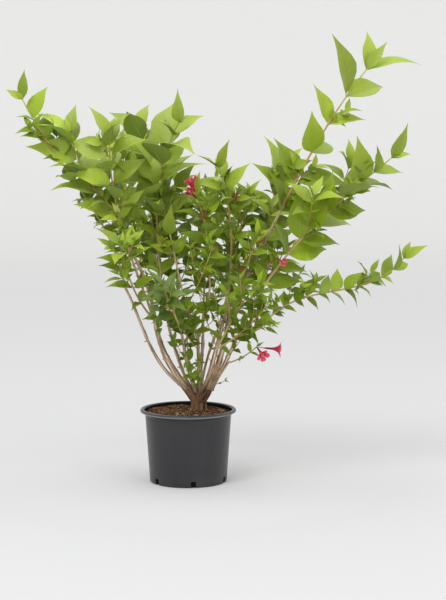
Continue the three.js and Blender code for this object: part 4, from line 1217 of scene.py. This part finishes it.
def make_twigs():
    """Shoots and twigs, in stretches at fixed shares of their length: a shoot woody, brown and
    green, a twig brown and green. A tube tapers evenly to its tip, and a shoot swells at even steps
    along it."""
    for skin, (on_shoot, on_twig, base, shade) in TWIG_SKINS.items():
        parts = []
        for twig in all_twigs:
            line, main = twig["line"], "main" in twig
            low, high = on_shoot if main else on_twig
            if high <= low:
                continue
            sides, step, tip_radius = SHOOT_TUBE if main else TWIG_TUBE
            t = np.linspace(low, high, max(3, round((high - low) * line.length / step)) + 1)
            width = blend(twig["radius"], tip_radius, t)
            if main:
                width = width * (1 + 0.16 * swelling((t * line.length) % 46, 23, 3.0))
            if high == 1.0:
                width[-1] *= 0.5
            parts.append(tube(line, t, width, sides))
        stands_for = list(MASSES) if skin == "woody" else ()
        piece("twigs_" + skin, joined(parts), twig_skin("twig_" + skin, base, shade), "foliage",
              stands_for, marked=True)


make_twigs()

# ---------------------------------------------------------------- leaves as meshes

# Shares of a leaf from its root, and the half width of its blade there over the widest. Each has a
# ring of corners: the place across from margin to margin, and 1 on the upper side, -1 on the lower.
LEAF_ROWS = np.array([0.0, 0.05, 0.12, 0.22, 0.35, 0.49, 0.63, 0.77, 0.89, 1.0])
LEAF_WIDTHS = np.array([0.0, 0.02, 0.4, 0.79, 0.99, 0.97, 0.76, 0.41, 0.15, 0.0])
LEAF_RING = np.array([(-1, 0), (-0.55, 1), (0, 1), (0.55, 1), (1, 0), (0, -1)], float)
RIB_ABOVE, RIB_BELOW = 2, 5  # the corners on the middle line
LOWER_FROM = 4  # the first of the ring's sides that is underneath
# The least and most of what is drawn for a leaf: its half width, fold, droop, curl and twist, how
# far its margin ripples and from which phase, and how far it bends aside.
LEAF_SHAPE = [(0.222, 0.272), (0.34, 0.8), (0.07, 0.25), (0.08, 0.34), (0.004, 0.02), (0, 6.3),
              (-0.5, 0.5), (-0.07, 0.07)]
STALK = 0.55  # half width of a leaf's stalk


def blades(leaves):
    """All the blades at once, and their ribs. The middle line droops as u^2 and its tip curls more,
    the halves fold up from it, the margins ripple as a sine along the blade, and the blade twists
    about its rib. A ring of six corners closes each share of it, thin at the margins."""
    root, along, side, up, draw = (np.stack([leaf[k] for leaf in leaves])
                                   for k in ("root", "along", "side", "up", "draw"))
    length = np.array([leaf["length"] for leaf in leaves])
    late = np.array([leaf["u"] for leaf in leaves]) ** 8
    breadth = np.array([leaf.get("breadth", 1.0) for leaf in leaves])
    wide, fold, droop, curl, ripple, phase, twist, bend = (
        blend(*ends, draw[:, i])[:, None, None] for i, ends in enumerate(LEAF_SHAPE))
    long, own = length[:, None, None], draw[:, 8][:, None, None]
    wide = wide * (1 - 0.3 * late)[:, None, None] * breadth[:, None, None] * long
    u, widths = LEAF_ROWS[None, :, None], LEAF_WIDTHS[None, :, None]
    v, face = LEAF_RING[:, 0][None, None], LEAF_RING[:, 1][None, None]
    w = v * np.maximum(wide * widths, STALK)
    lift = fold * np.abs(w) * (1 - 0.35 * np.abs(v))
    lift = lift + ripple * long * np.sin(15 * u + phase + v) * v * v * widths
    lift = lift - (droop * u**2 + curl * clamp(u - 0.5) ** 2 * 2) * long
    thick = np.maximum(0.34, 0.5 * (1 - u)) * face
    turn = twist * u
    sideways = w * np.cos(turn) - thick * np.sin(turn) + bend * long * u**2
    height = lift + w * np.sin(turn) + thick * np.cos(turn)
    grid = (root[:, None, None] + along[:, None, None] * (u * long)[..., None]
            + side[:, None, None] * sideways[..., None] + up[:, None, None] * height[..., None])
    point = grid[:, -1].mean(1, keepdims=True)
    grid[:, -1] = point + (grid[:, -1] - point) * 0.2
    marks = np.stack(np.broadcast_arrays(u, np.abs(v), own), -1)
    return closed(grid, marks, flip=True), ribs(grid, length, up, side)


def ribs(grid, length, up, side):
    """The stalk and the rib of each blade: a thin three-sided tube on its middle line, a little
    proud of both faces, that narrows towards the tip."""
    middle = (grid[:, :-1, RIB_ABOVE] + grid[:, :-1, RIB_BELOW]) / 2
    radius = (0.5 + 0.006 * length)[:, None] * (1.0 - 0.78 * LEAF_ROWS[:-1][None] ** 0.7)
    angle = turn_in(3)
    ring = (up[:, None, None] * (np.cos(angle) * 0.95)[None, None, :, None]
            - side[:, None, None] * np.sin(angle)[None, None, :, None])
    return closed(middle[:, :, None] + ring * radius[:, :, None, None])


# Each tint's blade, its veins, and its roughness, from the youngest leaves to the oldest. The
# darker tints are also painted shade for leaves in the middle of the crown and low in it, and the
# last is a greyer blue-green, painted shade for one mass.
LEAF_TINTS = {
    "lime": (tone(163, 184, 66), tone(196, 206, 112), 0.4),
    "bright": (tone(151, 172, 51), tone(184, 196, 100), 0.4),
    "fresh": (tone(146, 167, 44), tone(178, 190, 92), 0.44),
    "mid": (tone(131, 155, 24), tone(164, 178, 80), 0.46),
    "deep": (tone(118, 142, 15), tone(150, 166, 70), 0.48),
    "shade": (tone(103, 127, 7), tone(134, 151, 60), 0.5),
    # painted shade: a greyer blue-green for the one mass that lies in shade
    "shaded_blue": (tone(101, 124, 50), tone(140, 156, 92), 0.4),
}
SHADED_MASS = "leaves_front_left"  # the one mass with the last tint, which is painted shade
# Steps that a mass's leaves are darker by, and how fast its leaves darken with age. The steps
# of the masses low at the front and of the sprouts are painted shade, and those below zero, on
# the left of the crown, are painted light.
SPRAY_TINTS = {
    "leaves_far_left": (2.0, 1.9), "leaves_tall_right": (1.1, 0.9),
    "leaves_right_outer": (0.3, 1.0), "leaves_right_low": (0.1, 1.0),
    "leaves_middle_top": (1.2, 0.9), "leaves_right_middle": (0.9, 0.9),
    "leaves_left_outer": (-0.2, 0.6), "leaves_left_front": (-0.2, 0.5),
    "leaves_left_back": (-0.4, 0.6), "leaves_tall_left": (-0.3, 0.5),
    "leaves_middle_left": (-0.4, 0.4), "leaves_front_left": (1.6, 0.5),
    "leaves_front_right": (2.0, 0.7), "leaves_front_right_low": (1.9, 0.7),
    "leaves_middle_front": (1.8, 0.6), "leaves_right_front": (1.8, 0.7),
    "leaves_low_middle": (0.2, 0.7), "leaves_back_left_high": (0.5, 0.9),
    "leaves_back_high": (0.5, 0.9), "leaves_back_right_high": (0.5, 0.9),
    "leaves_middle_back": (0.5, 0.9), "leaves_left_low": (0.2, 0.5), "sprout": (2.3, 0.8),
}
# Places and sizes, in millimetres, of the crown's middle and of its low part, where leaves take
# painted shade.
DEPTH = {"x": 25, "z": 560, "reach": 330, "low": (620, 260)}
# How the step of a tint grows: with age, up to a most, towards the crown's middle and downward
# as painted shade, and by chance.
TINT_STEPS = {"age": 3.4, "most": 2.7, "inward": 1.3, "low": 2.0, "chance": 0.55, "first": -0.5}


def tint_of(leaf, rng):
    """The step of a leaf's tint, 0 for the youngest: by its age on its spray, its nearness to the
    crown's middle and how low it is, which paint shade on it, and chance."""
    shift, slope = SPRAY_TINTS.get(leaf["mass"], (0.0, 1.0))
    x, _, z = leaf["root"]
    from_middle = np.hypot((x - DEPTH["x"]) / DEPTH["reach"], (z - DEPTH["z"]) / DEPTH["reach"])
    # painted shade: leaves near the crown's middle and low in it step to darker tints
    inward = 1 - clamp(from_middle)
    old = min(leaf["age"] ** 0.8 * TINT_STEPS["age"] * slope, TINT_STEPS["most"])
    step = (old + TINT_STEPS["inward"] * inward + TINT_STEPS["low"] * below(z, *DEPTH["low"])
            + rng.normal(0, TINT_STEPS["chance"]) + TINT_STEPS["first"] + shift)
    last = len(LEAF_TINTS) - 1
    return last if leaf["mass"] == SHADED_MASS else int(clamp(round(step), 0, last - 1))


def make_leaves():
    """The blades, one piece for each tint, and all the ribs."""
    rng = np.random.default_rng(11)
    sorted_leaves = [[] for _ in LEAF_TINTS]
    for leaf in all_leaves:
        sorted_leaves[tint_of(leaf, rng)].append(leaf)
    rib_parts = []
    # undersides: paler, as a leaf's are, and lightened further as painted light through the blade
    underside = leaf_skin("leaf_underside", tone(143, 166, 66), tone(168, 184, 100), 0.6)
    for (name, tint), leaves in zip(LEAF_TINTS.items(), sorted_leaves):
        blade, rib = blades(leaves)
        quads, fans = blade[1]
        lower = np.arange(len(quads)) % len(LEAF_RING) >= LOWER_FROM
        lower = np.concatenate([lower, np.zeros(len(fans), bool)])
        piece("leaves_" + name, blade, leaf_skin("leaf_" + name, *tint), "foliage", marked=True,
              sharp=75, second=(underside, lower))
        rib_parts.append(rib)
    rib_skin = plain_skin("leaf_rib", tone(184, 192, 104))
    piece("leaf_ribs", joined(rib_parts), rib_skin, "foliage", sharp=80)


make_leaves()

# ---------------------------------------------------------------- flowers and fruit

# A flower stands on a shoot at a share of it, in the direction of a bearing and pitch. Its stalk,
# tube and flare follow each other along it, mouth is its radius, and wilt, from 0 to 1, folds its
# lobes in.
FLOWERS = [
    dict(on="flower_twig", at=0.97, bearing=-6, pitch=-4, size=(20, 18, 18, 20), wilt=0.0),
    dict(on="flower_twig", at=0.99, bearing=-60, pitch=-30, size=(3, 13, 17, 18), wilt=0.2),
    dict(on="leaves_middle_top", at=0.98, bearing=215, pitch=66, size=(6, 17, 24, 20), wilt=0.3,
         kind="deep"),
    dict(on="leaves_middle_top", at=0.98, bearing=228, pitch=34, size=(2, 11, 17, 18), wilt=0.5,
         kind="deep"),
]
# Smaller and older flowers, by the point that they are nearest to.
OLD_FLOWERS = [
    dict(near=(204, -31, 530), heading=(0.6, -0.7, -0.25), size=(5, 9, 13, 13), wilt=0.3),
    dict(near=(204, -31, 530), heading=(-0.55, -0.7, -0.45), size=(14, 9, 12, 6), wilt=0.7,
         kind="faded"),
]
# The base and edge of each kind's petals.
PETAL_TINTS = {
    "fresh": (tone(204, 27, 70), tone(236, 90, 122)),
    "deep": (tone(178, 14, 56), tone(208, 44, 82)),
    "faded": (tone(126, 40, 26), tone(190, 96, 72)),
}
FRUIT_PLACES = [(142, -90, 595), (93, -90, 574), (98, -60, 493), (144, -60, 636), (-30, -60, 470),
                (60, -40, 620), (150, -20, 560), (-70, 10, 560), (20, 90, 560), (110, 150, 540),
                (200, 60, 470), (-90, 120, 600)]

# Shares of the tube and flare, the radius over the mouth's there, and the run along the flare.
CORNERS_T = [0.0, 0.15, 0.3, 0.45, 0.55, 0.65, 0.75, 0.85, 0.93, 1.0]
CORNERS_R = [0.10, 0.115, 0.13, 0.17, 0.27, 0.4, 0.55, 0.74, 0.9, 1.0]
CORNERS_Z = [0.0, 0.33, 0.67, 1.0, 1.3, 1.54, 1.73, 1.87, 1.95, 1.97]
LOBES = 5
STAMENS = 5
CAPSULE_T, CAPSULE_R = [0, 0.15, 0.4, 0.75, 1], [0.7, 1.1, 1.7, 1.3, 0.5]


def frame_of(axis):
    """Two directions across an axis, so that side x over = axis."""
    side = unit(np.cross(UP, axis) + np.array([1e-6, 0, 0]))
    return side, np.cross(axis, side)


def corolla(base, axis, tube_length, flare, mouth, wilt, seed):
    """A funnel of five lobes as one closed shell. Radius and run along the axis follow their tables
    by the share along; between the lobes that share is held back by |cos(5a/2)|, so that the rim
    is notched. The inner wall lies half a millimetre inside the outer one."""
    t = np.linspace(0, 1, 19)[:, None]
    angle = turn_in(40)[None]
    lobe = np.abs(np.cos(LOBES * angle / 2)) ** 0.55
    share = np.where(t > 0.7, 0.7 + (t - 0.7) * (0.22 + 0.78 * lobe), t + 0 * angle)
    late = clamp((share - 0.6) / 0.4)
    points = np.broadcast_arrays(np.cos(angle), np.sin(angle), t * 3 + seed * 5.3)
    crumple = noise(np.stack(points, -1), 1.3, 2)
    radius = np.interp(share, CORNERS_T, CORNERS_R) * mouth
    radius = radius * (1 - wilt * 0.6 * late) * (1 + crumple * (0.15 + 0.6 * wilt) * late)
    run = np.interp(share, CORNERS_T, CORNERS_Z)
    height = np.minimum(run, 1) * tube_length + np.maximum(run - 1, 0) * flare
    height = height + crumple * (1.5 + 4 * wilt) * late - 0.08 * mouth * late * (1 - wilt)
    inner = np.maximum(radius - 0.5, 0.35)
    radius = np.concatenate([radius, inner[::-1]])
    height = np.concatenate([height, (height + 0.25 * late + 0.1)[::-1]])
    side, over = frame_of(axis)
    ring = side * np.cos(angle)[..., None] + over * np.sin(angle)[..., None]
    grid = (base + axis * height[..., None] + ring * radius[..., None])[None]
    both = np.concatenate([share, share[::-1]])
    marks = np.stack(np.broadcast_arrays(both, angle / (2 * math.pi), seed), -1)[None]
    return closed(grid, marks)


def rod(base, heading, radii, sides):
    """A straight thin tube."""
    return tube(Line(base, **straight(heading)), np.linspace(0, 1, 4), np.array(radii), sides)


def bead(centre, axis, length, radius):
    """A spindle: its radius is the square root of a half sine wave along it."""
    line = Line(centre - axis * (length / 2), **straight(axis * length))
    t = np.linspace(0.04, 0.96, 7)
    return tube(line, t, radius * np.sqrt(np.sin(math.pi * t)), 7)


def slip(base, axis, angle, lean, length, breadth):
    """One narrow sepal, as a small leaf that leaves an axis."""
    away = around(*frame_of(axis), angle)
    along = unit(around(axis, away, lean))
    up = unit(away - along * (along @ away))
    return dict(root=base, along=along, side=np.cross(up, along), up=up, length=length, u=0.0,
                breadth=breadth, draw=np.full(9, 0.5))


def grow_flower(base, axis, size, wilt, seed, petals, small):
    """A pedicel with a long ovary and five sepals, then the corolla, five stamens and a style."""
    stalk, tube_length, flare, mouth = size
    foot = base + axis * stalk
    small["pedicels"] += [rod(base, axis * (stalk + 2), [0.9, 0.8, 0.9, 1.1], 7),
                          bead(foot + axis * 1.5, axis, 9, 1.7)]
    small["sepals"] += [slip(foot + axis * 4, axis, i * 2 * math.pi / 5 + seed, 0.5, 7.5, 0.5)
                        for i in range(5)]
    start = foot + axis * 3.5
    petals.append(corolla(start, axis, tube_length, flare, mouth, wilt, seed))
    side, over = frame_of(axis)
    rng = np.random.default_rng(int(seed * 10) + 3)
    for i in range(STAMENS + 1):
        style = i == STAMENS
        angle = i * 2 * math.pi / 5 + rng.uniform(-0.2, 0.2)
        away = around(side, over, angle)
        root = start + axis * (tube_length * 0.8) + away * 0.8
        length = flare * rng.uniform(0.72, 0.9) + (flare * 0.3 if style else 0)
        along = unit(axis + away * (0.02 if style else 0.14))
        head = (1.8, 1.2) if style else (3.2, 0.7)
        small["stamens"] += [rod(root, along * length, [0.4, 0.35, 0.35, 0.3], 5),
                             bead(root + along * length, along, *head)]


def nearest_node(point):
    """The place and direction of the leaf node that is nearest to a point."""
    roots = np.stack([leaf["root"] for leaf in all_leaves])
    leaf = all_leaves[int(np.linalg.norm(roots - np.array(point, float), axis=1).argmin())]
    return leaf["root"], leaf.get("twig", leaf["along"])


def grow_fruit(place, rng, small):
    """A few dry capsules with four sepals each, that leave the nearest leaf node."""
    base, along = nearest_node(place)
    side, over = frame_of(along)
    for _ in range(rng.integers(4, 8)):
        angle, lean = rng.uniform(0, 2 * math.pi), rng.uniform(0.25, 0.9)
        axis = unit(around(along, around(side, over, angle), lean))
        line = Line(base, bow=0.08, **straight(axis * rng.uniform(12, 18)))
        t = np.linspace(0, 1, 9)
        small["capsules"].append(tube(line, t, np.interp(t, CAPSULE_T, CAPSULE_R), 8))
        small["sepals"] += [slip(line.at(0.97), axis, j * 1.57 + angle, 0.55, 5.5, 0.45)
                            for j in range(4)]


def make_flowers():
    """The flowers and fruit, one piece for each kind of petal and of small part."""
    petals = {kind: [] for kind in PETAL_TINTS}
    small = dict(stamens=[], pedicels=[], capsules=[], sepals=[])
    for i, row in enumerate(FLOWERS):
        base, axis = shoots[row["on"]]["line"].at(row["at"]), compass(row["bearing"], row["pitch"])
        grow_flower(base, axis, row["size"], row["wilt"], i + 0.3,
                    petals[row.get("kind", "fresh")], small)
    for i, row in enumerate(OLD_FLOWERS):
        base, axis = nearest_node(row["near"])[0], unit(np.array(row["heading"]))
        grow_flower(base, axis, row["size"], row["wilt"], i + 4.7,
                    petals[row.get("kind", "fresh")], small)
    rng = np.random.default_rng(23)
    for place in FRUIT_PLACES:
        grow_fruit(place, rng, small)
    for kind, tints in PETAL_TINTS.items():
        piece("petals_" + kind, joined(petals[kind]), petal_skin("petal_" + kind, *tints),
              "foliage", marked=True)
    for name, colour in (("stamens", tone(238, 214, 176)), ("pedicels", tone(120, 72, 46)),
                         ("capsules", tone(158, 104, 62))):
        piece(name, joined(small[name]), plain_skin(name[:-1], colour), "foliage")
    piece("sepals", blades(small["sepals"])[0], plain_skin("sepal", tone(150, 88, 58)), "foliage",
          sharp=75)


make_flowers()

# ---------------------------------------------------------------- the studio

# Sizes in metres: the cove's level floor, its sweep and its wall, and how far it lies below zero.
COVE = {"floor": 3.5, "sweep_at": 7.0, "sweep": 3.0, "wall": 3.2, "facets": 96, "below": 0.0001}
# Linear colours of the paint: under the plant, a paler pool of painted light against the shadow
# there; near it, darker, as painted shade where the lamps light the floor most; and far from it.
PAINT = {"under": (0.64, 0.64, 0.645, 1.0), "near": (0.575, 0.575, 0.58, 1.0),
         "far": (0.8, 0.8, 0.79, 1.0)}
# Each lamp's place, the height that it is aimed at, its width and its power.
LAMPS = {
    "key": ((-1.6, -2.6, 4.2), 0.5, 2.2, 74),
    "fill": ((2.8, -2.6, 2.2), 0.5, 2.4, 20),
    "top": ((0.4, 0.5, 4.4), 0.4, 2.4, 26),
}
AIR = 1.1
CAMERA = {"place": (0.082, -3.8, 0.815), "aim": (0.082, 0.0, 0.429), "lens": 97.8, "sensor": 36.0}


def make_floor():
    """A round studio cove: level floor, a quarter-circle sweep and an upright wall, all pale,
    with painted shade darkening the floor and a pool of painted light under the plant.
    """
    sweep = arc((COVE["sweep_at"], COVE["sweep"]), COVE["sweep"], -90, 0, 24)
    wall = (COVE["sweep_at"] + COVE["sweep"], COVE["wall"])
    profile = np.concatenate([[(0.02, 0), (COVE["floor"], 0)], sweep, [wall]]) / MM
    corners, faces, _ = closed(lathe(profile, COVE["facets"]), flip=True)
    net = Net("studio_paint", Roughness=0.9, Specular_IOR_Level=0.1)
    distance = net.length(net.place())
    # painted shade: darker floor near the plant, paler far off, evening out the lamps
    paint = net.mix((distance * 0.1) ** 1.7, PAINT["near"], PAINT["far"])
    # painted light: a paler pool under the plant lifts the shadow of the pot and crown
    net.colour(net.mix(distance.over(0.1, 0.5), PAINT["under"], paint))
    sheet = (corners[:-2] - (0, 0, COVE["below"] / MM), faces[:1], None)
    floor = piece("studio_floor", sheet, net.material, None, sharp=80)


def placed(name, data, place, aim):
    """An object at a place, turned so that it looks at an aim."""
    made = bpy.data.objects.new(name, data)
    made.location = place
    made.rotation_mode = "QUATERNION"
    made.rotation_quaternion = (Vector(aim) - Vector(place)).to_track_quat("-Z", "Y")
    bpy.context.scene.collection.objects.link(made)
    return made


def make_studio():
    make_floor()
    for name, (place, aim, width, power) in LAMPS.items():
        light = bpy.data.lights.new(name, "AREA")
        light.shape, light.size, light.energy = "DISK", width, power
        placed(name, light, place, (0, 0, aim)).visible_camera = False
    world = bpy.data.worlds.new("studio_air")
    world.use_nodes = True
    background = world.node_tree.nodes["Background"].inputs
    background["Color"].default_value = (1.0, 1.0, 1.0, 1.0)
    background["Strength"].default_value = AIR
    bpy.context.scene.world = world
    bpy.context.scene.view_settings.view_transform = "Standard"


def make_camera():
    camera = bpy.data.cameras.new("camera")
    camera.sensor_width, camera.lens = CAMERA["sensor"], CAMERA["lens"]
    camera.clip_start, camera.clip_end = 0.1, 60.0
    bpy.context.scene.camera = placed("camera", camera, CAMERA["place"], CAMERA["aim"])


make_studio()
make_camera()
